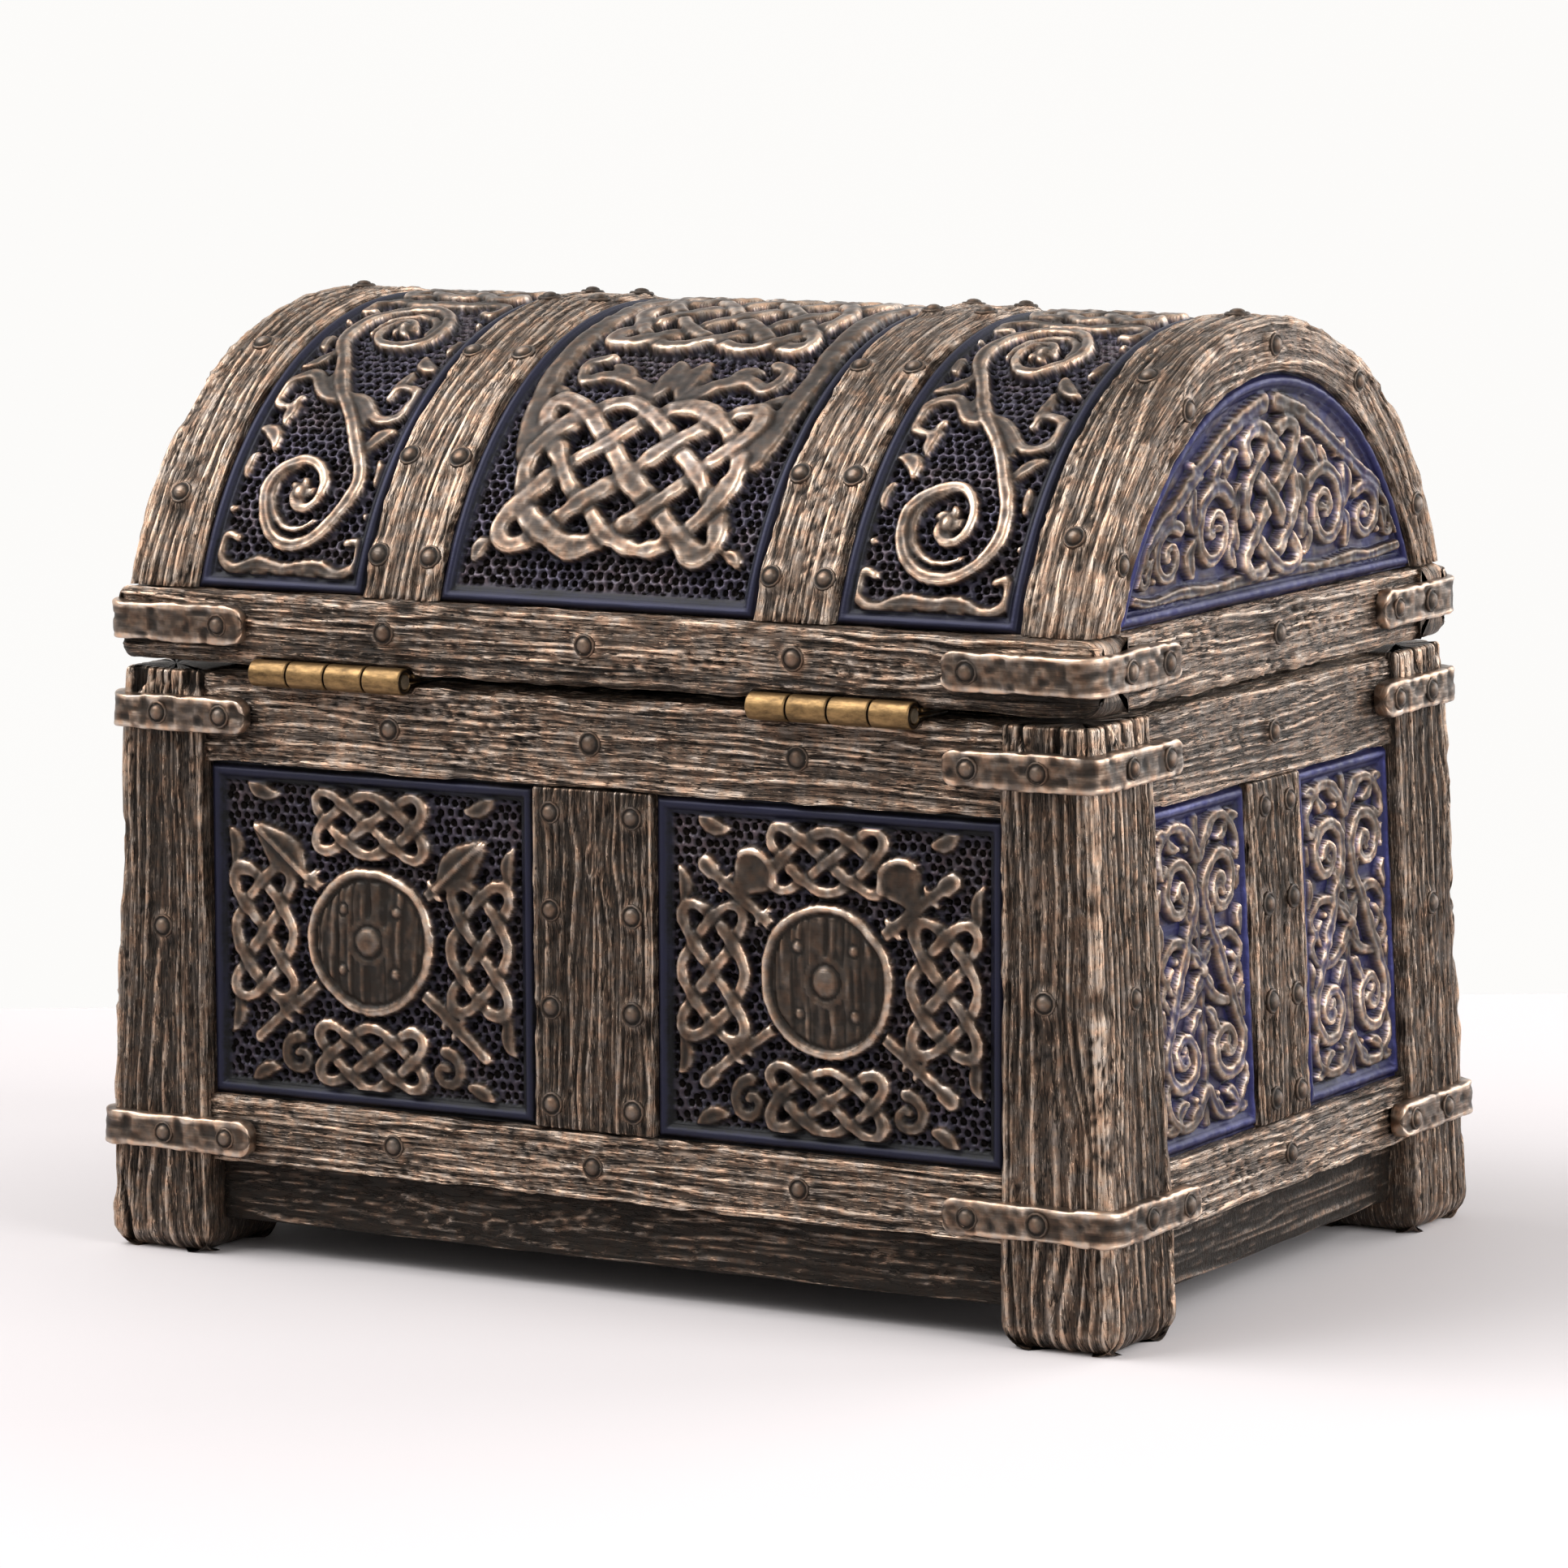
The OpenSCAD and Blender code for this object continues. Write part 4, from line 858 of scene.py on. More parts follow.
def shield_design(field, c, seed, axes):
    """A round plank shield over two crossed shafts, with laced knots in the four spaces between them."""
    lean_a = math.radians(38)
    reach = 19.2
    for s in (-1, 1):
        ux, uy = s * math.cos(lean_a), math.sin(lean_a)
        path = resample([[-ux * reach, -uy * reach], [ux * reach, uy * reach]])
        t = np.linspace(-reach, reach, len(path))
        if axes:
            half = np.where(np.abs(t) > 17.6, 1.15, 0.8)
        else:
            head = np.clip((t - 11.4) / 7.8, 0, 1)
            half = np.where(head > 0, 0.75 + 1.75 * np.sin(math.pi * head ** 0.75) * (1 - 0.25 * head), 0.8)
            half = np.where(head >= 0.97, 0.3, half)
            band(field, path[t > 10.4], 0.34, 0.5, 0.95)
        band(field, path, half, 0.95, 0.15, 0.1)
        if axes:
            # A bearded blade: a plate that widens away from the shaft, and a raised cutting edge
            px, py = ux * 14.0, uy * 14.0
            nx, ny = -uy * s, abs(ux)
            plate = resample([(px + nx * 0.4, py + ny * 0.4), (px + nx * 3.0, py + ny * 3.0)])
            taper(field, plate, 1.0, 2.7, 0.75, 0.35)
            turn = np.linspace(-1.25, 1.25, 30) + math.atan2(ny, nx)
            arc = resample(np.stack([px + nx * 3.0 + 2.6 * np.cos(turn), py + ny * 3.0 + 2.6 * np.sin(turn)], 1))
            band(field, arc, 0.45, 0.5, 0.9)
        # Binding rings on each shaft
        for k in (-14.5, -12.9, 10.2) + ((16.0,) if axes else ()):
            ring = resample([(ux * k + uy * 1.15, uy * k - ux * 1.15), (ux * k - uy * 1.15, uy * k + ux * 1.15)])
            band(field, ring, 0.34, 0.45, 0.65)
    for sx in (-1, 1):
        knot = weave_line(sx * 14.3, 0, 3.9, 7.2, 3, 2, 0.86)
        lace(field, knot, wobble(knot, 0.62, 0.92, seed + sx), 0.65, 0.26, 0.04)
        knot = weave_line(0, sx * 13.0, 7.0, 3.4, 2, 3, 0.86)
        lace(field, knot, wobble(knot, 0.60, 0.88, seed + 5 + sx), 0.65, 0.26, 0.04)
    for sx in (-1, 1):
        for sy in (-1, 1):
            if sy < 0:
                hook = spiral(sx * 9.6, sy * 13.9, 2.3, 0.4, math.pi * 0.5, 1.1, sx * sy)
                taper(field, hook, 0.85, 0.55, 0.7, 0.1, 0.08)
            leaves(field, sx, sy, (
                (12.6, 15.4, 1, 0.15, 4.2, 0.5, 0.24, 0.85), (18.3, 7.4, -0.25, 1, 4.4, -0.6, 0.20, 0.85)
            ))
    r = c.shield_r
    d = np.hypot(field.x, field.y)
    on = d < r
    plank = np.abs((field.x / 2.15 + 0.5) % 1 - 0.5) * 2.15
    wood = 0.55 * (noise(field.x / 0.42, field.y / 4.2, seed + 20) - 0.5) - 0.36 * np.exp(-(plank / 0.15) ** 2)
    face = 0.95 + 0.18 * (1 - (d / r) ** 2) + wood
    rim = 1.34 - 0.30 * ((d - (r - 0.62)) / 0.62) ** 2
    face = np.where(d > r - 1.2, rim, face)
    face = np.where((d > r - 1.55) & (d <= r - 1.2), 0.60, face)
    face = np.where(d < 2.7, 1.16, face)
    face = np.where((d < 1.98) & (d >= 1.7), 0.80, face)
    face = np.where(d < 1.7, 1.0 + 0.58 * np.sqrt(np.maximum(1 - (d / 1.7) ** 2, 0)), face)
    for k in range(4):
        a = math.pi / 4 + k * math.pi / 2
        e = np.hypot(field.x - 4.9 * math.cos(a), field.y - 4.9 * math.sin(a))
        face = np.where(e < 0.85, 0.80, face)
        face = np.where(e < 0.6, 0.95 + 0.38 * np.sqrt(np.maximum(1 - (e / 0.6) ** 2, 0)), face)
    field.h = np.where(on, face, np.where(d < r + 0.35, np.minimum(field.h, 0.05), field.h))
    field.metal = np.where(on, 1.0, np.where(d < r + 0.35, 0.0, field.metal))


def scroll_design(field, h):
    """Two mirrored columns of scrolls on a stem, with side scrolls, leaves and berries in the gaps."""
    x, y = 4.95, 8.7
    stem = curve([(0, -h / 2 + 2.0), (0.35, -y), (0, 0), (-0.35, y), (0, h / 2 - 2.0)])
    for s in (-1, 1):
        line = s_scroll(s * x, -y, s * x, y, 4.05, 0.5, 1.55, s)
        n = len(line)
        half = np.interp(np.arange(n), [0, 30, n / 2, n - 31, n - 1], [0.45, 0.72, 0.95, 0.72, 0.45])
        band(field, line, half, 0.85, 0.2, 0.08)
    band(field, stem, 0.6, 0.65, 0.0, 0.08)
    for sy in (-1, 1):
        for s in (-1, 1):
            outer = curve([(0.6, 1.4), (2.9, 3.0), (6.6, 3.6), (9.0, 1.8), (8.2, 0.2), (6.9, 1.2)], s, sy)
            taper(field, outer, 0.85, 0.4, 0.75, 0.12, 0.06)
            top = curve([(0.3, 4.0), (2.4, 6.8), (6.2, 7.2), (9.0, 4.8), (8.6, 2.4), (7.4, 3.2)], s, sy, 0, sy * y)
            taper(field, top, 0.85, 0.4, 0.8, 0.15, 0.06)
            leaves(field, s, sy, (
                (0.8, y - 4.6, 1, 0.5, 3.0, 0.7, 0.26, 0.9), (1.4, h / 2 - 4.4, 1, 0.6, 3.4, 0.3, 0.24, 0.9),
                (4.6, y + 5.0, 1, 0.2, 3.0, 0.6, 0.26, 0.9), (6.6, h / 2 - 3.6, 1, 0.5, 3.2, -0.4, 0.24, 0.9),
                (9.4, y - 2.8, -0.1, -1, 3.4, 0.3, 0.22, 0.9), (9.3, y + 1.2, 0.1, -1, 2.4, -0.3, 0.22, 0.85),
                (2.0, 4.9, 0.6, 0.8, 2.4, 0.4, 0.26, 0.9),
            ))
            for k in range(3):
                leaf(field, s * (x - 0.1), sy * y, TAU * k / 3 + s, 1.5, 0.6, 0.40, 1.0)
            disc(field, s * 5.4, sy * 1.9, 0.5, 0.5, 0.35)
            disc(field, s * 2.4, sy * (y + 4.9), 0.5, 0.5, 0.35)
    for k in range(4):
        a = math.pi / 2 * k + math.pi / 4
        leaf(field, 0.4 * math.cos(a), 0.4 * math.sin(a), a, 2.6, 0.0, 0.30, 1.0)
    disc(field, 0, 0, 0.85, 1.05, 0.3)


def side_dome_design(field):
    """Two S scrolls of a slim stem down each half of a narrow dome panel, with side scrolls, leaves and berries
    branching off them into every gap. The S crosses over at the height of its waist."""
    waist = 28.6
    for s in (-1, 1):
        top, low = s * (waist + 13.0), s * (waist - 13.0)
        line = s_scroll(0.3, top, -0.3, low, 7.4, 0.9, 1.55, s)
        n = len(line)
        half = np.interp(np.arange(n), [0, 60, n / 2, n - 61, n - 1], [0.5, 0.8, 1.0, 0.8, 0.5])
        band(field, line, half, 0.95, 0.3, 0.16)
        for f in (-1, 1):
            y0 = top if f > 0 else low
            hook = curve([(-s * 0.4, 0), (2.6, 0.4), (5.6, 3.4), (8.3, 2.6), (8.6, -0.8), (6.4, -1.9), (5.6, -0.1)],
                         -f, f * s, 0, s * waist)
            taper(field, hook, 1.1, 0.5, 0.85, 0.15, 0.08)
            leaf(field, -f * 2.6, s * (waist + f * 1.2), math.atan2(f * s, -f * 0.2), 4.2, 0.6 * f * s, 0.24, 0.95)
            leaf(field, -f * 5.4, s * (waist - f * 1.6), math.atan2(-f * s, -f * 0.5), 3.6, 0.5 * s, 0.22, 0.9)
            for side in (-1, 1):
                tail = curve([(0.4, 8.9), (3.4, 8.6), (6.6, 9.6), (8.9, 8.4), (8.7, 5.9), (7.2, 6.1)],
                             side, f * s, 0, y0)
                taper(field, tail, 1.0, 0.5, 0.8, 0.12, 0.08)
                leaves(field, side, f * s, (
                    (2.2, 9.6, 1, 0.4, 3.4, 0.5, 0.22, 0.85), (6.0, -5.4, 0.5, -1, 4.4, 0.6, 0.22, 0.9),
                    (8.6, -1.4, 0.1, -1, 3.4, -0.4, 0.20, 0.85),
                ), y0)
                disc(field, side * 8.9, y0 + f * s * 2.6, 0.55, 0.5, 0.35)
            for k in range(5):
                leaf(field, 0.3 * f, y0, TAU * k / 5 + 0.4 * s, 2.0, 0.9, 0.30, 1.1)
            inner = spiral(0.3 * f, y0, 4.4, 3.6, 1.2 * s + f, 0.55, -s)
            taper(field, inner, 0.35, 0.75, 0.8, 0.15, 0.05)
            disc(field, 0.3 * f, y0, 0.7, 1.2, 0.3)
        for k in (-0.42, 0.42):
            disc(field, k * 15, s * waist + k * 15 * s, 0.55, 0.5, 0.35)
    ring = weave_line(0, 0, 7.4, 4.4, 2, 3, 0.9)
    lace(field, ring, wobble(ring, 0.75, 1.1, 3), 0.75, 0.26, 0.04)


def centre_dome_design(field):
    """Two blocks of broad plaited ribbon at the feet and a denser one on top, joined by bands up both sides and by
    leaves that spring from the plait."""
    for s in (-1, 1):
        for f in (-1, 1):
            sweep = curve([(14.4, 35.5), (16.2, 27.5), (16.4, 18.0), (15.8, 9.0), (15.9, 0)], f, s)
            taper(field, sweep, 1.7, 1.3, 0.9, 0.15, 0.06)
            stem = curve([(2.2, 28.0), (4.4, 25.0), (8.6, 23.2), (11.8, 24.2), (12.8, 21.2), (10.6, 19.9)], f, s)
            taper(field, stem, 1.4, 0.8, 0.85, 0.12, 0.06)
            leaves(field, f, s, (
                (6.4, 24.0, 0.5, -0.9, 4.6, 0.5, 0.26, 0.95), (1.6, 26.4, -0.12, -1, 6.4, 0.3, 0.28, 1.0),
                (12.4, 26.8, 1, -0.2, 3.0, -0.5, 0.30, 0.9), (14.9, 46.4, 1, 0.5, 3.2, 0.5, 0.30, 0.9),
            ))
        block = weave_line(0, s * 37.4, 13.7, 9.3, 3, 4, 0.86)
        lace(field, block, wobble(block, 1.0, 1.6, 7 + s), 0.9, 0.26, 0.05)
    middle = weave_line(0, 0, 12.6, 17.0, 5, 4, 0.86)
    lace(field, middle, wobble(middle, 0.85, 1.3, 17), 0.85, 0.25, 0.05)


def lunette_design(field):
    """A laced knot in the middle of the half round, scrolls with leaves falling to both sides, and a band under the
    arch that sends leaves down between them."""
    knot = weave_line(0, 11.0, 6.2, 7.9, 3, 2, 0.86)
    for s in (-1, 1):
        stem = curve([(1.6, 21.2), (5.0, 20.7), (9.0, 19.2), (15.5, 16.2), (21.6, 12.6), (27.6, 9.0), (31.2, 4.8)], s)
        taper(field, stem, 1.2, 0.7, 0.8, 0.15, 0.1)
        low = curve([(0.6, 1.9), (7.0, 2.5), (12.0, 2.1), (19.0, 2.7), (26.0, 2.2), (31.6, 2.8)], s)
        taper(field, low, 0.95, 0.6, 0.75, 0.12, 0.08)
        big = spiral(s * 13.4, 8.6, 4.9, 0.5, math.pi / 2 + s * 0.9, 1.6, -s)
        taper(field, big, 1.15, 0.5, 0.85, 0.2, 0.1)
        small = spiral(s * 23.4, 7.0, 3.5, 0.4, math.pi / 2 + s * 0.6, 1.4, -s)
        taper(field, small, 0.95, 0.5, 0.8, 0.15, 0.08)
        tip = spiral(s * 28.9, 5.3, 1.7, 0.4, math.pi / 2 + s * 0.6, 1.0, -s)
        taper(field, tip, 0.7, 0.4, 0.75, 0.12, 0.05)
        for x, y, a, size, bend in (
            (8.2, 16.6, -0.4, 4.4, -0.6), (12.4, 15.8, -1.3, 3.2, 0.5), (18.2, 13.2, -1.3, 4.6, -0.4),
            (18.6, 4.4, 1.4, 4.2, 0.5), (8.4, 4.4, 0.9, 3.2, 0.6), (27.2, 7.2, -0.9, 3.0, -0.5),
            (13.4, 8.6, 0.6, 1.9, 0.6), (13.4, 8.6, 2.9, 1.9, 0.6), (23.4, 7.0, 0.9, 1.5, 0.5),
            (8.0, 9.4, 1.5, 4.0, 0.5), (22.4, 11.2, 0.2, 2.8, -0.5), (16.4, 14.6, 0.4, 2.8, 0.4),
            (3.0, 20.0, -0.9, 2.8, 0.5), (8.2, 9.2, -1.4, 3.4, -0.5),
        ):
            leaf(field, s * x, y, a if s > 0 else math.pi - a, size, s * bend, 0.26, 0.95)
        disc(field, s * 19.4, 9.9, 0.6, 0.5, 0.4)
        disc(field, s * 26.6, 4.9, 0.5, 0.5, 0.4)
    lace(field, knot, wobble(knot, 0.75, 1.1, 21), 0.75, 0.25, 0.06)


# Materials


def new_node(tree, kind, inputs=None, **settings):
    """A node with its settings and input values, where a socket in place of a value is linked."""
    node = tree.nodes.new(kind)
    for key, value in settings.items():
        setattr(node, key, value)
    for key, value in (inputs or {}).items():
        socket = node.inputs[key]
        if isinstance(value, bpy.types.NodeSocket):
            tree.links.new(value, socket)
        else:
            socket.default_value = value
    return node


def math_node(tree, kind, a, b=0.0, c=0.0):
    """One sum on numbers or sockets."""
    return new_node(tree, "ShaderNodeMath", {0: a, 1: b, 2: c}, operation=kind).outputs[0]


def ramp(tree, factor, stops):
    """A colour ramp through (place, colour) stops."""
    node = tree.nodes.new("ShaderNodeValToRGB")
    tree.links.new(factor, node.inputs[0])
    elements = node.color_ramp.elements  # a new ramp has two
    while len(elements) < len(stops):
        elements.new(0.5)
    for element, (place, value) in zip(elements, stops):
        element.position = place
        element.color = (*value, 1.0)
    return node.outputs[0]


def blend_of(tree, factor, a, b, kind="MIX"):
    """Mix of two colours by a factor."""
    return new_node(tree, "ShaderNodeMix", {0: factor, 6: a, 7: b}, data_type="RGBA", blend_type=kind).outputs[2]


def between(tree, value, a, b, to_a, to_b):
    """A value carried from one range to another, kept within it."""
    return new_node(tree, "ShaderNodeMapRange", {0: value, 1: a, 2: b, 3: to_a, 4: to_b}, clamp=True).outputs[0]


def attribute(tree, name, output="Fac"):
    """A value that the mesh carries under a name."""
    return new_node(tree, "ShaderNodeAttribute", attribute_name=name).outputs[output]


def object_place(tree):
    """The place of a point on its object, in metres."""
    return new_node(tree, "ShaderNodeTexCoord").outputs["Object"]


def texture(tree, place, scale, detail, **inputs):
    """Cloudy noise over a place."""
    inputs = {"Vector": place, "Scale": scale, "Detail": detail, **inputs}
    return new_node(tree, "ShaderNodeTexNoise", inputs).outputs[0]


def stretched(tree, place, scale):
    """A place with its axes scaled."""
    return new_node(tree, "ShaderNodeMapping", {"Vector": place, "Scale": scale}).outputs[0]


def off_middle(tree, value):
    """How far a noise is from its middle value."""
    return math_node(tree, "ABSOLUTE", math_node(tree, "SUBTRACT", value, 0.5))


def bump_from(tree, shader, height, strength, distance):
    """Bends a shader's normal by a height, with the distance in metres."""
    inputs = {"Height": height, "Strength": strength, "Distance": distance}
    tree.links.new(new_node(tree, "ShaderNodeBump", inputs).outputs[0], shader.inputs["Normal"])


def base_material(name):
    """A new node material with only its shader and output."""
    material = bpy.data.materials.new(name)
    material.use_nodes = True
    tree = material.node_tree
    tree.nodes.clear()
    shader = tree.nodes.new("ShaderNodeBsdfPrincipled")
    out = tree.nodes.new("ShaderNodeOutputMaterial")
    tree.links.new(shader.outputs[0], out.inputs[0])
    return material, tree, shader


def patina_material(name, colours, paints, shift=0.0, streak=0.20, line=0.32, bump=0.85, metal=0.85, gloss=0.30):
    """Rubbed bronze over dark patina, with blue paint where the piece asks for it.
    The relief attribute, moved by shift, by a slow noise and by streaks along the grain, picks the colour from patina
    through umber and bronze to bright bronze. Along two stretched noises' middle values run thin bright lines and
    thin dark cracks, by line. A fine noise drifts the bronze between warm and cool. The pit attribute, a cone, is cut
    at one height for the mouths of pits, which are painted near black and fully metallic as the shade inside the holes."""
    material, tree, shader = base_material(name)
    relief, paint, pit = (attribute(tree, key) for key in ("relief", "paint", "pit"))
    grain_at = attribute(tree, "grain", "Vector")
    place = object_place(tree)
    slow = texture(tree, place, 70.0, 3.0)
    speck = texture(tree, place, 1700.0, 3.0)

    def along_grain(scale, detail):
        return texture(tree, stretched(tree, grain_at, scale), 1.0, detail, Roughness=0.6)

    def scaled(value, by, plus):
        return math_node(tree, "MULTIPLY_ADD", value, by, plus)

    streaks = along_grain((0.24, 3.6, 1.0), 5.0)
    lines = between(tree, off_middle(tree, along_grain((0.15, 2.5, 1.0), 3.0)), 0.0, 0.019, 1.0, 0.0)
    cracks = between(tree, off_middle(tree, along_grain((0.11, 1.9, 1.0), 4.0)), 0.0, 0.026, 1.0, 0.0)
    level = scaled(slow, 0.30, -0.15 + shift)
    level = math_node(tree, "ADD", level, relief)
    level = math_node(tree, "ADD", level, scaled(streaks, 2 * streak, -streak))
    level = scaled(lines, line, level)
    level = scaled(cracks, -1.1 * line, level)
    level = math_node(tree, "ADD", level, scaled(speck, 0.26, -0.13))
    # Painted shade: the mouth of each pit goes to the darkest colour, as the inside of a hole
    pit_shade = between(tree, pit, 0.30, 0.38, 0.0, 1.0)
    level = math_node(tree, "SUBTRACT", level, pit_shade)
    bronze = ramp(tree, level, (
        (0.06, colours.patina), (0.34, colours.umber), (0.62, colours.bronze), (0.95, colours.bright)
    ))
    full, rubbed = paints
    enamel = ramp(tree, level, (
        (0.02, [0.05 * v for v in full]), (0.20, [0.7 * v for v in full]), (0.44, full), (0.80, rubbed)
    ))
    drift = texture(tree, place, 800.0, 4.0)
    cast = ramp(tree, drift, ((0.36, (1.13, 0.97, 0.86)), (0.50, (1.02, 1.0, 0.97)), (0.64, (0.91, 0.99, 1.07))))
    bronze = blend_of(tree, 1.0, bronze, cast, "MULTIPLY")
    tree.links.new(blend_of(tree, paint, bronze, enamel), shader.inputs["Base Color"])
    shine = between(tree, level, 0.1, 0.5, 0.3, metal)
    shine = math_node(tree, "MULTIPLY", shine, between(tree, paint, 0.0, 1.0, 1.0, 0.75))
    # Fully metallic in the pit mouths, so that the painted shade there takes no pale reflection
    shine = math_node(tree, "MAXIMUM", shine, pit_shade)
    tree.links.new(shine, shader.inputs["Metallic"])
    rough = between(tree, level, 0.0, 0.7, gloss + 0.22, gloss)
    rough = math_node(tree, "ADD", rough, scaled(speck, 0.2, -0.10))
    tree.links.new(rough, shader.inputs["Roughness"])
    for key, value in (("Specular IOR Level", 0.2), ("Coat Weight", 0.03), ("Coat Roughness", 0.2)):
        shader.inputs[key].default_value = value
    height = math_node(tree, "ADD", streaks, math_node(tree, "MULTIPLY", speck, 0.3))
    height = scaled(lines, 0.5 if line > 0.1 else 0.0, height)
    height = scaled(cracks, -1.0 if line > 0.1 else 0.0, height)
    bump_from(tree, shader, height, bump, 0.00022)
    return material


def metal_material(name, dark, light, scale, rough, along=1.0, gap_shade=None):
    """Aged sheet metal: two tones by a fine noise on object coordinates, whose x is scaled by along, and a hammered
    bump. With a colour for gap_shade, that colour takes over where the relief attribute falls to 0: painted shade,
    as in the gaps between a hinge's knuckles."""
    material, tree, shader = base_material(name)
    fine = texture(tree, stretched(tree, object_place(tree), (along, 1.0, 1.0)), scale, 6.0, Roughness=0.7)
    tone = ramp(tree, fine, ((0.34, dark), (0.62, light)))
    if gap_shade is not None:
        gap_shaded = ramp(tree, fine, ((0.3, gap_shade), (0.7, [1.6 * v for v in gap_shade])))
        tone = blend_of(tree, between(tree, attribute(tree, "relief"), 0.15, 0.95, 0.0, 1.0), gap_shaded, tone)
    tree.links.new(tone, shader.inputs["Base Color"])
    shader.inputs["Metallic"].default_value = 0.9
    tree.links.new(between(tree, fine, 0.3, 0.7, rough + 0.14, rough), shader.inputs["Roughness"])
    bump_from(tree, shader, fine, 0.25, 0.0001)
    return material


def seen_directly(tree):
    """1 for camera, glossy and transmission rays, and 0 for the rays that light things."""
    path = tree.nodes.new("ShaderNodeLightPath")
    seen = math_node(tree, "MAXIMUM", path.outputs["Is Camera Ray"], path.outputs["Is Transmission Ray"])
    return math_node(tree, "MAXIMUM", seen, path.outputs["Is Glossy Ray"])


def finishes(scene):
    """The chest's finishes, made once and kept by name."""
    colours = scene.chest_colours
    blues, glazes = (colours.blue, colours.violet), (colours.glaze, colours.glaze_light)
    wanted = {
        "rubbed_timber": lambda n: patina_material(n, colours, blues, streak=0.25, line=0.46, bump=1.0),
        # Lit copies of the timber: the ribs and the rails are brighter, the rails with more bright lines, as painted
        # highlight where light from above catches them
        "rib_timber": lambda n: patina_material(n, colours, blues, shift=0.15, streak=0.24, line=0.38, bump=1.0),
        "rail_timber": lambda n: patina_material(n, colours, blues, shift=0.09, streak=0.28, line=0.68, bump=1.1),
        # Painted shade: the base board, tucked under the rails, takes a much darker finish than the other timber
        "dark_timber": lambda n: patina_material(n, colours, blues, shift=-0.32, metal=0.6, gloss=0.42),
        "rubbed_relief": lambda n: patina_material(n, colours, blues, streak=0.06, line=0.0, bump=0.2),
        "glazed_relief": lambda n: patina_material(n, colours, glazes, streak=0.06, line=0.0, bump=0.2),
        "bronze_strap": lambda n: patina_material(
            n, colours, blues, shift=-0.05, streak=0.14, line=0.0, bump=0.35, metal=0.9, gloss=0.32
        ),
        # Painted shade: the hinges take the patina colour at their knuckle ends, as the shade in the gaps between
        # knuckles
        "aged_brass": lambda n: metal_material(
            n, [0.30 * v for v in colours.brass], colours.brass, 1100.0, 0.33, along=0.35, gap_shade=colours.patina
        ),
        "dull_steel": lambda n: metal_material(n, (0.16, 0.12, 0.08), (0.34, 0.27, 0.19), 700.0, 0.34),
    }
    for name, make in wanted.items():
        if name not in bpy.data.materials:
            make(name)
    return {name: bpy.data.materials[name] for name in wanted}


# Operators: one for each group of pieces


class CHEST_OT_posts(bpy.types.Operator):
    """Carve the four corner posts, which run down into rounded feet"""
    bl_idname = "chest.posts"
    bl_label = "Corner posts"
    bl_options = {"REGISTER", "UNDO"}

    def execute(self, context):
        c, looks = chest_sizes(context.scene), finishes(context.scene)
        rivets = rivet_places(c)["body"]
        shape = rectangle(
            c.post_x, c.post_y, c.half_l, c.half_w, (0.5, 0.9, 1.3, 0.9), (1.2, c.across, c.across, 1.2), (0, 1, 1, 0)
        )
        stations, inset = end_stations(0, c.rim, c.along, c.foot_round, 0.5)
        for sx, sy, corner in CORNERS:
            name = f"post_{corner}"

            def place(s, a, b):
                return lean(np.stack([sx * a, sy * b, s], -1), c)

            def extra(s, q):
                # End-grain notches above the upper strap, and a split up from one foot
                notch = np.abs(noise(q / 1.15, q * 0, seed_of(name) + 40) - 0.5) * 2
                reach = 0.9 + 2.6 * noise(q / 1.3, q * 0 + 7, seed_of(name) + 41)
                down = 0.9 * smooth(s, c.rim - reach - 0.4, c.rim - reach) * smooth(0.42 - notch, 0, 0.2)
                if (sx, sy) == (1, 1):
                    middle = shape.q[shape.on > 0.9].mean() + 3.4 + 0.5 * np.sin(s / 1.7)
                    width = 0.16 + 0.3 * smooth(9 - s, 0, 9)
                    down = down + np.exp(-((q - middle) / width) ** 2) * smooth(11 - s, 0, 4)
                return down

            part = member(shape, stations, inset, place, seed_of(name), c, rivets, extra, 1.05)
            add_carved(name, part, looks["rubbed_timber"], "body")
        return {"FINISHED"}


def faces(turn, c):
    """How far the outer face, at the rim, and the inner face of a wall are from the middle."""
    return (c.half_w, c.inner_y) if turn in LONG_WALLS else (c.half_l, c.inner_x)


def wall_place(turn, c):
    """Puts (station, out, z) or (station, u, out) of a wall in place, leaned."""
    def along(s, out, z):
        return lean(on_turn(turn, s, out, z), c)

    def upward(s, u, out):
        return lean(on_turn(turn, u, out, s), c)

    return along, upward


class CHEST_OT_rails(bpy.types.Operator):
    """Carve the top and bottom rails between the posts"""
    bl_idname = "chest.rails"
    bl_label = "Body rails"
    bl_options = {"REGISTER", "UNDO"}

    def execute(self, context):
        c, looks = chest_sizes(context.scene), finishes(context.scene)
        rivets = rivet_places(c)["body"]
        for turn, wall in WALL_NAMES.items():
            side = turn in LONG_WALLS
            reach = (c.post_x if side else c.post_y) + 0.2
            out, inner = faces(turn, c)
            along, _ = wall_place(turn, c)
            for kind, z0, z1 in (("bottom_rail", c.base_top, c.panel_z0), ("top_rail", c.panel_z1, c.rim)):
                name = f"{kind}_{wall}"
                top = kind == "top_rail"
                shape = rectangle(
                    inner, z0, out - c.proud, z1, (0.4, 0.7, 0.8, 0.4), (2.0, c.across, 0.6 if top else 1.6, 2.5),
                    (0.3, 1, 0.6 if top else 0.3, 0)
                )
                stations, inset = end_stations(-reach, reach, c.along, 0, 0)
                part = member(shape, stations, inset, along, seed_of(name), c, rivets)
                if top and turn == REAR:
                    part = (sink_hinges(part[0], c, -1), *part[1:])
                add_carved(name, part, looks["rail_timber"], "body")
        return {"FINISHED"}


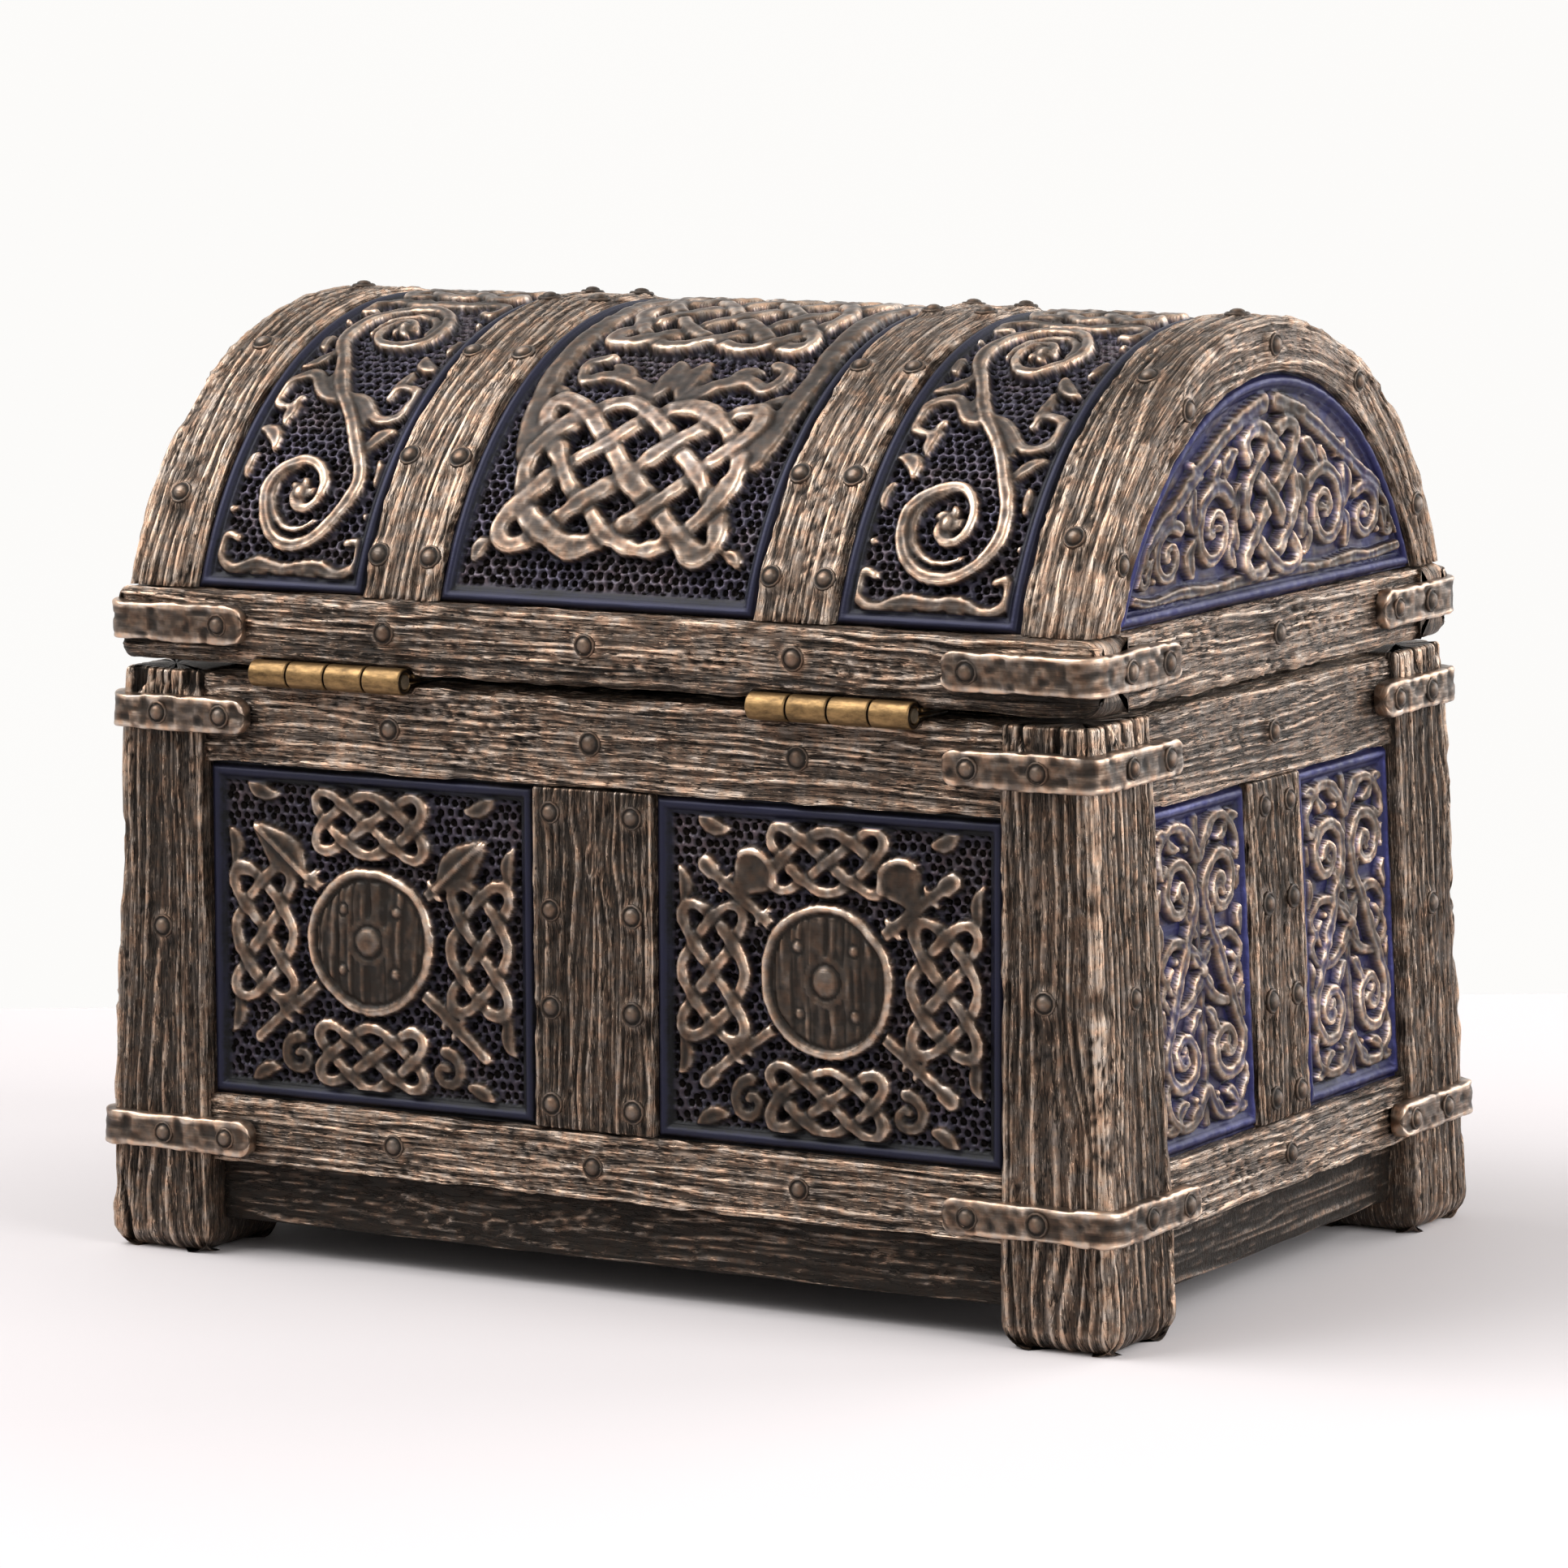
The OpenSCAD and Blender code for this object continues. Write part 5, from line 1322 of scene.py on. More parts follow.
def sink_hinges(points, c, side):
    """Moves the points of a rail out of the space of both hinges: a point within the barrel's circle goes to its rim,
    away from the seam, and one in the leaf's slot goes below the leaf. side is -1 for the body and 1 for the lid."""
    points = points.copy()
    r = c.knuckle_r + 0.32
    deep = c.leaf_gap / 2 + c.leaf_t + 0.12
    for x in (c.hinge_left, c.hinge_right):
        near = np.abs(points[:, 0] - x) < c.hinge_l / 2 + 0.3
        y, z = points[:, 1] - c.hinge_y, (points[:, 2] - c.hinge_z) * side
        slot = near & (y > -c.leaf_d - 0.2) & (z < deep) & (z > -2.2)
        z = np.where(slot, np.maximum(z, deep), z)
        inside = near & (np.hypot(y, z) < r)
        z = np.where(inside, np.sqrt(np.maximum(r * r - y * y, 0)), z)
        points[:, 2] = c.hinge_z + z * side
    return points


class CHEST_OT_stiles(bpy.types.Operator):
    """Carve the riveted centre stile of each wall"""
    bl_idname = "chest.stiles"
    bl_label = "Centre stiles"
    bl_options = {"REGISTER", "UNDO"}

    def execute(self, context):
        c, looks = chest_sizes(context.scene), finishes(context.scene)
        rivets = rivet_places(c)["body"]
        for turn, wall in WALL_NAMES.items():
            side = turn in LONG_WALLS
            half = (c.side_stile if side else c.end_stile) / 2 + 0.1
            out, inner = faces(turn, c)
            name = f"stile_{wall}"
            shape = rectangle(
                -half, inner, half, out - c.proud - 0.05, (0.4, 0.4, 0.7, 0.7), (2.5, 1.0, c.across, 1.0),
                (0, 0.4, 1, 0.4)
            )
            stations, inset = end_stations(c.panel_z0 - 0.1, c.panel_z1 + 0.1, c.along, 0.35, 0.35)
            part = member(shape, stations, inset, wall_place(turn, c)[1], seed_of(name), c, rivets, depth=1.1)
            add_carved(name, part, looks["rubbed_timber"], "body")
        return {"FINISHED"}


def wall_panel(turn, s, c, seed):
    """The relief panel on one side of a wall's stile: a height over u and z on the leaning ground, tucked a little
    under its neighbours. The long walls carry shields on a pitted ground, and the ends carry scrolls."""
    tuck = 0.35
    side = turn in LONG_WALLS
    post, stile = (c.post_x, c.side_stile) if side else (c.post_y, c.end_stile)
    out, inner = faces(turn, c)
    mid, w, h = s * (post + stile / 2) / 2, post - stile / 2, c.panel_z1 - c.panel_z0
    u = spread(-w / 2 - tuck, w / 2 + tuck, c.fine)
    v = spread(-h / 2 - tuck, h / 2 + tuck, c.fine)
    x, y = np.meshgrid(u, v, indexing="ij")
    field = new_field(x, y, seed, 0.3)
    if side:
        shield_design(field, c, seed, s > 0)
        pitted(field, c, seed)
    else:
        scroll_design(field, h)
    framed(field, np.minimum(w / 2 - np.abs(x), h / 2 - np.abs(y)), c)
    relief, paint = finish_relief(field, seed, *((0.75, 0.02, 0.0, 1.9) if side else (1.0, 0.16, 0.75, 1.3)))
    front = lean(on_turn(turn, mid + x, out - c.proud - c.recess + field.h, c.panel_mid + y), c)
    rows = np.array([0, len(v) // 2, len(v) - 1])
    back = lean(on_turn(turn, mid + x[:, rows], np.full((len(u), 3), inner), c.panel_mid + y[:, rows]), c)
    return slab(front, back, relief, paint, field.pit, (x, y))


class CHEST_OT_wall_panels(bpy.types.Operator):
    """Carve the relief panels of the four walls: shields on the long walls, scrolls on the ends"""
    bl_idname = "chest.wall_panels"
    bl_label = "Wall panels"
    bl_options = {"REGISTER", "UNDO"}

    def execute(self, context):
        c, looks = chest_sizes(context.scene), finishes(context.scene)
        halves = {
            (FRONT, -1): "front_left", (FRONT, 1): "front_right", (REAR, 1): "rear_left", (REAR, -1): "rear_right",
            (LEFT, 1): "left_front", (LEFT, -1): "left_rear", (RIGHT, -1): "right_front", (RIGHT, 1): "right_rear",
        }
        for (turn, s), where in halves.items():
            name = f"panel_{where}"
            look = looks["rubbed_relief" if turn in LONG_WALLS else "glazed_relief"]
            part = wall_panel(turn, s, c, seed_of(name))
            add_piece(f"{name}_relief", [part], look, "body", [name])
        return {"FINISHED"}


class CHEST_OT_base(bpy.types.Operator):
    """Carve the base board, which shows as a dark skirt below the bottom rails, its finish painted darker as shade
    under them
    """
    bl_idname = "chest.base"
    bl_label = "Base board"
    bl_options = {"REGISTER", "UNDO"}

    def execute(self, context):
        c, looks = chest_sizes(context.scene), finishes(context.scene)
        drop = (c.rim - c.base_top) / c.rim
        x = c.half_l + c.end_flare * drop - c.proud - c.base_inset
        y = c.half_w + c.side_flare * drop - c.proud - c.base_inset
        px, py = c.post_x, c.post_y
        corners = [(px, -y), (px, -py), (x, -py), (x, py), (px, py), (px, y),
                   (-px, y), (-px, py), (-x, py), (-x, -py), (-px, -py), (-px, -y)]
        steps = [1.5, 1.5, 0.8, 1.5, 1.5, 0.8] * 2
        live = [0, 0, 1, 0, 0, 1] * 2
        shape = outline(corners, [0.0] * 12, steps, live)
        stations, inset = end_stations(c.base_lift, c.base_top, 0.34, 0.5, 0)
        s, q = np.meshgrid(stations, shape.q, indexing="ij")
        down = grain(q, s, 77, c) * 0.8 * shape.on[None]
        a = shape.p[None, :, 0] - shape.n[None, :, 0] * (inset[:, None] + down)
        b = shape.p[None, :, 1] - shape.n[None, :, 1] * (inset[:, None] + down)
        rings = np.stack([a, b, s], -1)
        low, high = ([rings[i] * (f, f, 1) for f in (0.97, 0.6, 0.3)] for i in (0, -1))
        relief = np.clip(0.42 + 4 * (blur(down, 4, 4) - down), 0, 1)
        relief = np.pad(relief, ((CAP_RINGS, CAP_RINGS), (0, 0)), constant_values=PLAIN)
        points, quads, tris = tube(np.concatenate([low[::-1], rings, high]))
        top = points[:, 2] > c.base_top - 0.01
        fields = {
            "relief": with_ends(relief, PLAIN, PLAIN), "paint": np.zeros(len(points)),
            "grain": np.stack([points[:, 0], points[:, 1] + 3 * top, points[:, 2]], 1),
        }
        part = points, quads, tris, fields
        add_piece("base_board_carved", [part], looks["dark_timber"], "body", ["base_board"])
        return {"FINISHED"}


def strap(c, sx, sy, z, half, height, inner, seed, leaning):
    """A strap round one corner: an outline of out and z carried along an L with a rounded corner. half is (x, y) of
    the face it lies on, inner how far it reaches behind that face. Its tips are rounded, and hammer marks dent it."""
    corner, tip = 1.7, 1.5
    hx, hy = half
    xs, ys = spread(c.strap_x, hx - corner, 0.4), spread(c.strap_y, hy - corner, 0.4)[::-1]
    ang = np.linspace(math.pi / 2, 0, 9)[1:-1]
    arc = np.stack([np.cos(ang), np.sin(ang)], 1)
    path = np.concatenate([
        np.stack([xs, np.full(len(xs), hy)], 1), np.array([hx - corner, hy - corner]) + corner * arc,
        np.stack([np.full(len(ys), hx), ys], 1),
    ])
    normal = np.concatenate([np.repeat([[0.0, 1.0]], len(xs), 0), arc, np.repeat([[1.0, 0.0]], len(ys), 0)])
    run = run_along(path)
    # Stations close together over the rounding of the tips, where the strap also narrows by pinch
    ends = tip * (1 - np.cos(np.linspace(0, math.pi / 2, 7)))
    at = np.concatenate([ends, run[(run > tip) & (run < run[-1] - tip)], run[-1] - ends[::-1]])
    px, py = (np.interp(at, run, path[:, i])[:, None] for i in (0, 1))
    nx, ny = (np.interp(at, run, normal[:, i])[:, None] for i in (0, 1))
    size = np.hypot(nx, ny)
    t = np.clip(tip - np.minimum(at - at[0], at[-1] - at), 0, tip)
    pinch = (tip - np.sqrt(np.maximum(tip * tip - t * t, 0)))[:, None]
    shape = rectangle(
        -inner, -height / 2, c.strap_t, height / 2, (0.2, 0.42, 0.42, 0.2), (0.9, 0.24, 0.9, 2.0), (0.4, 1, 0.4, 0)
    )
    p, n = shape.p[None], shape.n[None]
    s, q = np.meshgrid(at, shape.q, indexing="ij")
    dents = 0.17 * smooth(noise(s / 1.2, q / 1.0, seed), 0.5, 0.85) + 0.12 * noise(s / 0.7, q / 0.6, seed + 1)
    ripple = 0.22 * (noise(s / 3.1, q * 0 + seed, seed + 2) - 0.5)
    down = dents * shape.on[None]
    out = p[..., 0] - n[..., 0] * down - np.where(p[..., 0] > 0, 0.35 * np.clip(pinch / tip, 0, 1) ** 2, 0)
    up = p[..., 1] - n[..., 1] * down + ripple * np.sign(p[..., 1]) * (np.abs(p[..., 1]) > height / 2 - 0.5)
    up = up * (1 - pinch / (height / 2) * 0.86)
    rings = np.stack([sx * (px + nx / size * out), sy * (py + ny / size * out), z + up], -1)
    if leaning:
        rings = lean(rings, c)
    rub = np.exp(-(shape.edge / 0.28) ** 2)[None] * (0.6 + 0.8 * noise(s / 2.5, q / 3, seed + 4))
    relief = 0.42 + 3.4 * (blur(down, 2, 2) - down) + 0.65 * rub * shape.on[None] + 0.12 * (pinch > 0.3)
    points, quads, tris = tube(rings)
    fields = {
        "relief": with_ends(np.clip(relief, 0, 1.2), 0.6, 0.6), "paint": np.zeros(len(points)),
        "grain": np.stack([with_ends(s, 0, 0), with_ends(q, 0, 0) + seed, np.zeros(len(points))], 1),
    }
    return points, quads, tris, fields


class CHEST_OT_straps(bpy.types.Operator):
    """Beat out the straps round the corners of the body and the lid"""
    bl_idname = "chest.straps"
    bl_label = "Corner straps"
    bl_options = {"REGISTER", "UNDO"}

    def execute(self, context):
        c, looks = chest_sizes(context.scene), finishes(context.scene)
        wall, lid_wall = (c.half_l, c.half_w), (c.lid_l, c.lid_w)
        for sx, sy, corner in CORNERS:
            for name, z, half, height, inner, part_of in (
                (f"lower_strap_{corner}", c.lower_z, wall, c.strap_h, c.proud, "body"),
                (f"upper_strap_{corner}", c.upper_z, wall, c.strap_h, c.proud, "body"),
                (f"lid_strap_{corner}", c.lid_strap_z, lid_wall, c.lid_strap_h, 0.5, "lid"),
            ):
                part = strap(c, sx, sy, z, half, height, inner, seed_of(name), part_of == "body")
                add_piece(f"{name}_beaten", [part], looks["bronze_strap"], part_of, [name])
        return {"FINISHED"}


def rivet_skins(places, c):
    """Small domes in a ring groove with a thin raised rim: a profile of radius and height turned about each place.
    The profile is drawn for the default radius and height and scaled to the rivet's own."""
    k = 12
    profile = np.array([
        (0.0, -0.35), (1.38, -0.35), (1.34, -0.02), (1.20, 0.12), (1.02, -0.06), (0.90, 0.06),
        (0.72, 0.34), (0.40, 0.48), (0.0, 0.53),
    ]) * np.array([c.rivet_r / 0.85, c.rivet_h / 0.53])
    shade = np.array([0.2, 0.2, 0.30, 0.54, -0.1, 0.08, 0.42, 0.56, 0.62])
    a = np.arange(k) * TAU / k
    across, above = profile[1:-1, None, :1], profile[1:-1, None, 1:]
    parts = []
    rng = np.random.default_rng(5)
    for at, up in places:
        side = np.cross(up, [0.31, 0.52, 0.79])
        side /= np.linalg.norm(side)
        ring = np.cos(a)[:, None] * side + np.sin(a)[:, None] * np.cross(up, side)
        squash = 1 + 0.12 * (rng.random() - 0.5)
        points, quads, tris = tube(at + across * squash * ring + above * up)
        points[-2], points[-1] = at + profile[0, 1] * up, at + profile[-1, 1] * up
        tone = with_ends(np.repeat(shade[1:-1, None], k, 1), shade[0], shade[-1]) + 0.14 * (rng.random() - 0.5)
        parts.append((points, quads, tris, {
            "relief": tone, "paint": np.zeros(len(points)), "grain": points.copy(),
        }))
    return parts


class CHEST_OT_rivets(bpy.types.Operator):
    """Set the rivets of the body and of the lid"""
    bl_idname = "chest.rivets"
    bl_label = "Rivets"
    bl_options = {"REGISTER", "UNDO"}

    def execute(self, context):
        c, looks = chest_sizes(context.scene), finishes(context.scene)
        for name, places in rivet_places(c).items():
            node = f"{name}_rivets"
            add_piece(f"{node}_domed", rivet_skins(places, c), looks["bronze_strap"], name, [node])
        return {"FINISHED"}


class CHEST_OT_hinges(bpy.types.Operator):
    """Roll the hinge leaves round their pins, and finish the pins and screws"""
    bl_idname = "chest.hinges"
    bl_label = "Hinges"
    bl_options = {"REGISTER", "UNDO"}

    def execute(self, context):
        c, looks = chest_sizes(context.scene), finishes(context.scene)
        piece = (c.hinge_l - 3 * c.knuckle_gap) / 4
        for hand, x in (("left", c.hinge_left), ("right", c.hinge_right)):
            # The body's leaf is rolled at the first and third of the four knuckles, and the lid's at the others
            for first, side, where in ((0, -1, "body"), (1, 1, "lid")):
                parts = []
                for i in range(4):
                    x0 = x - c.hinge_l / 2 + i * (piece + c.knuckle_gap)
                    section = self.roll(c) if i % 2 == first else self.plate(c)
                    stations, inset = end_stations(x0, x0 + piece, 1.2, KNUCKLE_ROUND, KNUCKLE_ROUND)
                    rings = section[None] - self.outward(section)[None] * inset[:, None, None]
                    xyz = np.stack([
                        np.repeat(stations[:, None], len(section), 1), c.hinge_y + rings[..., 0],
                        c.hinge_z + side * -rings[..., 1]
                    ], -1)
                    points, quads, tris = tube(xyz)
                    # Painted shade: this relief falls to 0 over the rounded knuckle ends, where the gaps between
                    # knuckles are painted dark
                    unshaded = with_ends(np.repeat(1 - inset[:, None] / KNUCKLE_ROUND, len(section), 1), 0.0, 0.0)
                    if i % 2 == first:
                        tris = self.curl_ends(len(stations), len(section))
                        points, unshaded = points[:-2], unshaded[:-2]
                    parts.append((points, quads, tris, {"relief": unshaded}))
                name = f"hinge_{hand}_{where}_leaf"
                add_piece(f"{name}_rolled", parts, looks["aged_brass"], where, [name])
        for name in ("hinge_left_pin", "hinge_right_pin", "body_hinge_screws", "lid_hinge_screws"):
            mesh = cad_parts[name].data
            mesh.materials.clear()
            mesh.materials.append(looks["dull_steel"])
        return {"FINISHED"}

    @staticmethod
    def outward(section):
        """Outward normal at each point of a closed clockwise or anticlockwise section: its tangent turned a quarter."""
        t = np.roll(section, -1, 0) - np.roll(section, 1, 0)
        t /= np.linalg.norm(t, axis=1)[:, None]
        area = (section[:, 0] * np.roll(section[:, 1], -1) - np.roll(section[:, 0], -1) * section[:, 1]).sum()
        return np.stack([t[:, 1], -t[:, 0]], 1) * (1 if area > 0 else -1)

    @staticmethod
    def roll(c):
        """Section of a rolled knuckle in (y, z): the sheet comes in below the pin, runs round it and ends short of
        itself. Outer arc, then inner arc back, paired point by point so that the ends close with strips."""
        z_low, z_high = -c.leaf_gap / 2 - c.leaf_t, -c.leaf_gap / 2
        a0 = math.pi + math.asin(-z_low / c.knuckle_r)
        b0 = math.pi + math.asin(-z_high / c.roll_r)
        end = math.pi + TAU - 0.35
        t = np.linspace(0, 1, 30)
        sheet = []
        for r, start, z in ((c.knuckle_r, a0, z_low), (c.roll_r, b0, z_high)):
            ang = start + (end - start) * t
            arc = np.stack([r * np.cos(ang), r * np.sin(ang)], 1)
            sheet.append(np.concatenate([[[-c.leaf_d, z], [-3.0, z]], arc]))
        return np.concatenate([sheet[0], sheet[1][::-1]])

    @staticmethod
    def curl_ends(m, n):
        """Triangles of both ends of a rolled section, between each outer point and the inner point across from it."""
        k = n // 2
        i = np.arange(k - 1)
        a, b, d, e = i, i + 1, n - 2 - i, n - 1 - i
        low = np.concatenate([np.stack([a, d, b], 1), np.stack([a, e, d], 1)])
        high = (m - 1) * n + low[:, ::-1]
        return np.concatenate([low, high])

    @staticmethod
    def plate(c):
        """Section of the leaf's plate between its knuckles, in (y, z)."""
        z_low, z_high = -c.leaf_gap / 2 - c.leaf_t, -c.leaf_gap / 2
        y1 = -c.knuckle_r - 0.35
        return np.array([(-c.leaf_d, z_low), (y1, z_low), (y1, z_high), (-c.leaf_d, z_high)])


class CHEST_OT_lid_rails(bpy.types.Operator):
    """Carve the lid's four rails; the long ones run through to the corners"""
    bl_idname = "chest.lid_rails"
    bl_label = "Lid rails"
    bl_options = {"REGISTER", "UNDO"}

    def execute(self, context):
        c, looks = chest_sizes(context.scene), finishes(context.scene)
        rivets = rivet_places(c)["lid"]
        for turn, wall in WALL_NAMES.items():
            side = turn in LONG_WALLS
            name = f"lid_rail_{wall}"
            out, inner = (c.lid_w, c.inner_y) if side else (c.lid_l, c.inner_x)
            shape = rectangle(
                inner, c.lid_z, out, c.lid_top, (0.4, 1.7, 0.8, 0.4), (0.8, c.across, 0.8, 2.2), (0.5, 1, 0.6, 0)
            )
            if side:
                stations, inset = end_stations(-c.lid_l, c.lid_l, c.along, 1.6, 1.6)
            else:
                stations, inset = end_stations(-c.inner_y - 0.2, c.inner_y + 0.2, c.along, 0, 0)
            place = lambda s, a, b, turn=turn: on_turn(turn, s, a, b)
            # Painted shade on the lower, downward-facing edge of each lid rail, stronger on the long rails
            underside_shade = (0.42 if side else 0.18) * smooth(c.lid_z + 3.0 - shape.p[:, 1], -0.3, 1.1)
            part = member(
                shape, stations, inset, place, seed_of(name), c, rivets, depth=1.15, all_round=False, underside_shade=underside_shade[None]
            )
            if turn == REAR:
                part = (sink_hinges(part[0], c, 1), *part[1:])
            add_carved(name, part, looks["rail_timber"], "lid")
        return {"FINISHED"}


def arch_place(c, low):
    """Puts (t, x, r) on the arch: t from -1 to 1 runs from the front foot to the rear foot, at the angle t times that
    at which radius r reaches the rails' top."""
    def place(t, x, r):
        end = np.arccos(np.clip((low - c.arch_z) / r, -1, 1))
        a = t * end
        return np.stack([x, r * np.sin(a), c.arch_z + r * np.cos(a)], -1)
    return place


class CHEST_OT_ribs(bpy.types.Operator):
    """Bend and carve the four ribs; the outer two also are the arched ends of the lid"""
    bl_idname = "chest.ribs"
    bl_label = "Ribs"
    bl_options = {"REGISTER", "UNDO"}

    def execute(self, context):
        c, looks = chest_sizes(context.scene), finishes(context.scene)
        rivets = rivet_places(c)["lid"]
        low = c.lid_top - 0.1
        half_run = math.acos((low - c.arch_z) / c.arch_r) * c.arch_r
        on_arch = arch_place(c, low)
        place = lambda s, a, b: on_arch(s / half_run, a, b)
        stations = spread(-half_run, half_run, c.along)
        inset = np.zeros(len(stations))
        half = c.mid_rib / 2
        # Name, both faces along x, and which of them is an end face of the lid: the left 0, the right 1
        for name, x0, x1, open_face in (
            ("rib_left_end", -c.face_x, -c.end_rib_x, 0), ("rib_left", -c.rib_x - half, -c.rib_x + half, None),
            ("rib_right", c.rib_x - half, c.rib_x + half, None), ("rib_right_end", c.end_rib_x, c.face_x, 1),
        ):
            left, right = open_face == 0, open_face == 1
            shape = rectangle(
                x0, c.vault_r, x1, c.arch_r,
                (0.5 if left else 0.3, 0.5 if right else 0.3, 1.0 if right else 0.75, 1.0 if left else 0.75),
                (2.5, c.across if right else 0.8, c.across, c.across if left else 0.8),
                (0, 1 if right else 0.4, 1, 1 if left else 0.4),
            )
            part = member(shape, stations, inset, place, seed_of(name), c, rivets, depth=1.1)
            add_carved(name, part, looks["rib_timber"], "lid")
        return {"FINISHED"}


def arch_ends(m, n, cols):
    """Triangles of both ends of an arched slab of m stations, whose outline is n points of the upper arc and then
    the points of the lower arc, backwards, below the upper points numbered in cols. Each upper stretch takes the
    lower point at or before it, and each lower stretch the upper point at its far end."""
    whole = n + len(cols)
    i = np.arange(n - 1)
    j = np.searchsorted(cols, i, side="right") - 1
    k = np.arange(len(cols) - 1)
    low = np.concatenate([
        np.stack([i, i + 1, whole - 1 - j], 1), np.stack([cols[1:], whole - 2 - k, whole - 1 - k], 1)
    ])
    return np.concatenate([low[:, ::-1], (m - 1) * whole + low])


class CHEST_OT_dome_panels(bpy.types.Operator):
    """Carve the three relief panels of the dome: ribbon plaits in the middle, scrolls at the sides"""
    bl_idname = "chest.dome_panels"
    bl_label = "Dome panels"
    bl_options = {"REGISTER", "UNDO"}

    def execute(self, context):
        c, looks = chest_sizes(context.scene), finishes(context.scene)
        ground = c.arch_r - c.recess
        low = c.lid_top - 0.15
        half_run = math.acos((low - c.arch_z) / ground) * ground
        on_arch = arch_place(c, low)
        rib0, rib1 = c.rib_x - c.mid_rib / 2, c.rib_x + c.mid_rib / 2
        for name, x0, x1 in (("left", -c.end_rib_x, -rib1), ("centre", -rib0, rib0), ("right", rib1, c.end_rib_x)):
            seed = seed_of("dome_panel_" + name)
            tuck = 0.3
            w = x1 - x0
            u = spread(-w / 2 - tuck, w / 2 + tuck, c.fine * (1.02 if name == "centre" else 1.0))
            v = spread(-half_run, half_run, c.fine * (1.08 if name == "centre" else 1.0))
            x, y = np.meshgrid(u, v, indexing="ij")
            field = new_field(x, y, seed, 0.55)
            if name == "centre":
                centre_dome_design(field)
            else:
                side_dome_design(field)
            pitted(field, c, seed)
            framed(field, np.minimum(w / 2 - np.abs(x), half_run - np.abs(y)), c)
            relief, paint = finish_relief(field, seed, 0.8, 0.06, 0.1, 1.9)
            across = (x0 + x1) / 2 + x
            front = on_arch(y / half_run, across, ground + field.h)
            cols = np.linspace(0, len(v) - 1, 33).astype(int)
            back = on_arch(y[:, cols] / half_run, across[:, cols], np.full((len(u), len(cols)), c.vault_r))
            # The arched ends take triangles of their own in place of the slab's fans and their two middle points
            points, quads, _, fields = slab(front, back, relief, paint, field.pit, (x, y))
            fields = {key: value[:-2] for key, value in fields.items()}
            part = points[:-2], quads, arch_ends(len(u), len(v), cols), fields
            node = f"dome_panel_{name}"
            add_piece(f"{node}_relief", [part], looks["rubbed_relief"], "lid", [node])
        return {"FINISHED"}


class CHEST_OT_lunettes(bpy.types.Operator):
    """Carve the half-round relief panels of the lid's ends"""
    bl_idname = "chest.lunettes"
    bl_label = "Half-round panels"
    bl_options = {"REGISTER", "UNDO"}

    def execute(self, context):
        c, looks = chest_sizes(context.scene), finishes(context.scene)
        r = c.vault_r + 0.3
        low = c.lid_top - 0.1
        half = math.sqrt(r * r - (low - c.arch_z) ** 2)
        u = half * np.sin(np.linspace(-math.pi / 2, math.pi / 2, int(2.3 * half / c.fine)) * 0.999)
        t = spread(0, 1, c.fine / (r + c.arch_z - low))
        x, part_up = np.meshgrid(u, t, indexing="ij")
        rise = np.sqrt(np.maximum(r * r - x * x, 0)) + c.arch_z - low
        y = part_up * np.maximum(rise, 0.02)
        field = new_field(x, y, 31, 0.4)
        lunette_design(field)
        edge = np.minimum(c.vault_r - np.hypot(x, y + low - c.arch_z), y - 0.1)
        framed(field, edge, c)
        relief, paint = finish_relief(field, 31, 1.0, 0.12, 0.75, 1.3)
        for s, where in ((-1, "left"), (1, "right")):
            ground = c.face_x - c.lunette_recess
            front = np.stack([s * (ground + field.h), x, low + y], -1)
            rows = np.array([0, len(t) // 2, len(t) - 1])
            back = np.stack([np.full((len(u), 3), s * c.inner_x), x[:, rows], low + y[:, rows]], -1)
            part = slab(front, back, relief, paint, field.pit, (x, y))
            name = f"lunette_{where}"
            add_piece(f"{name}_relief", [part], looks["glazed_relief"], "lid", [name])
        return {"FINISHED"}


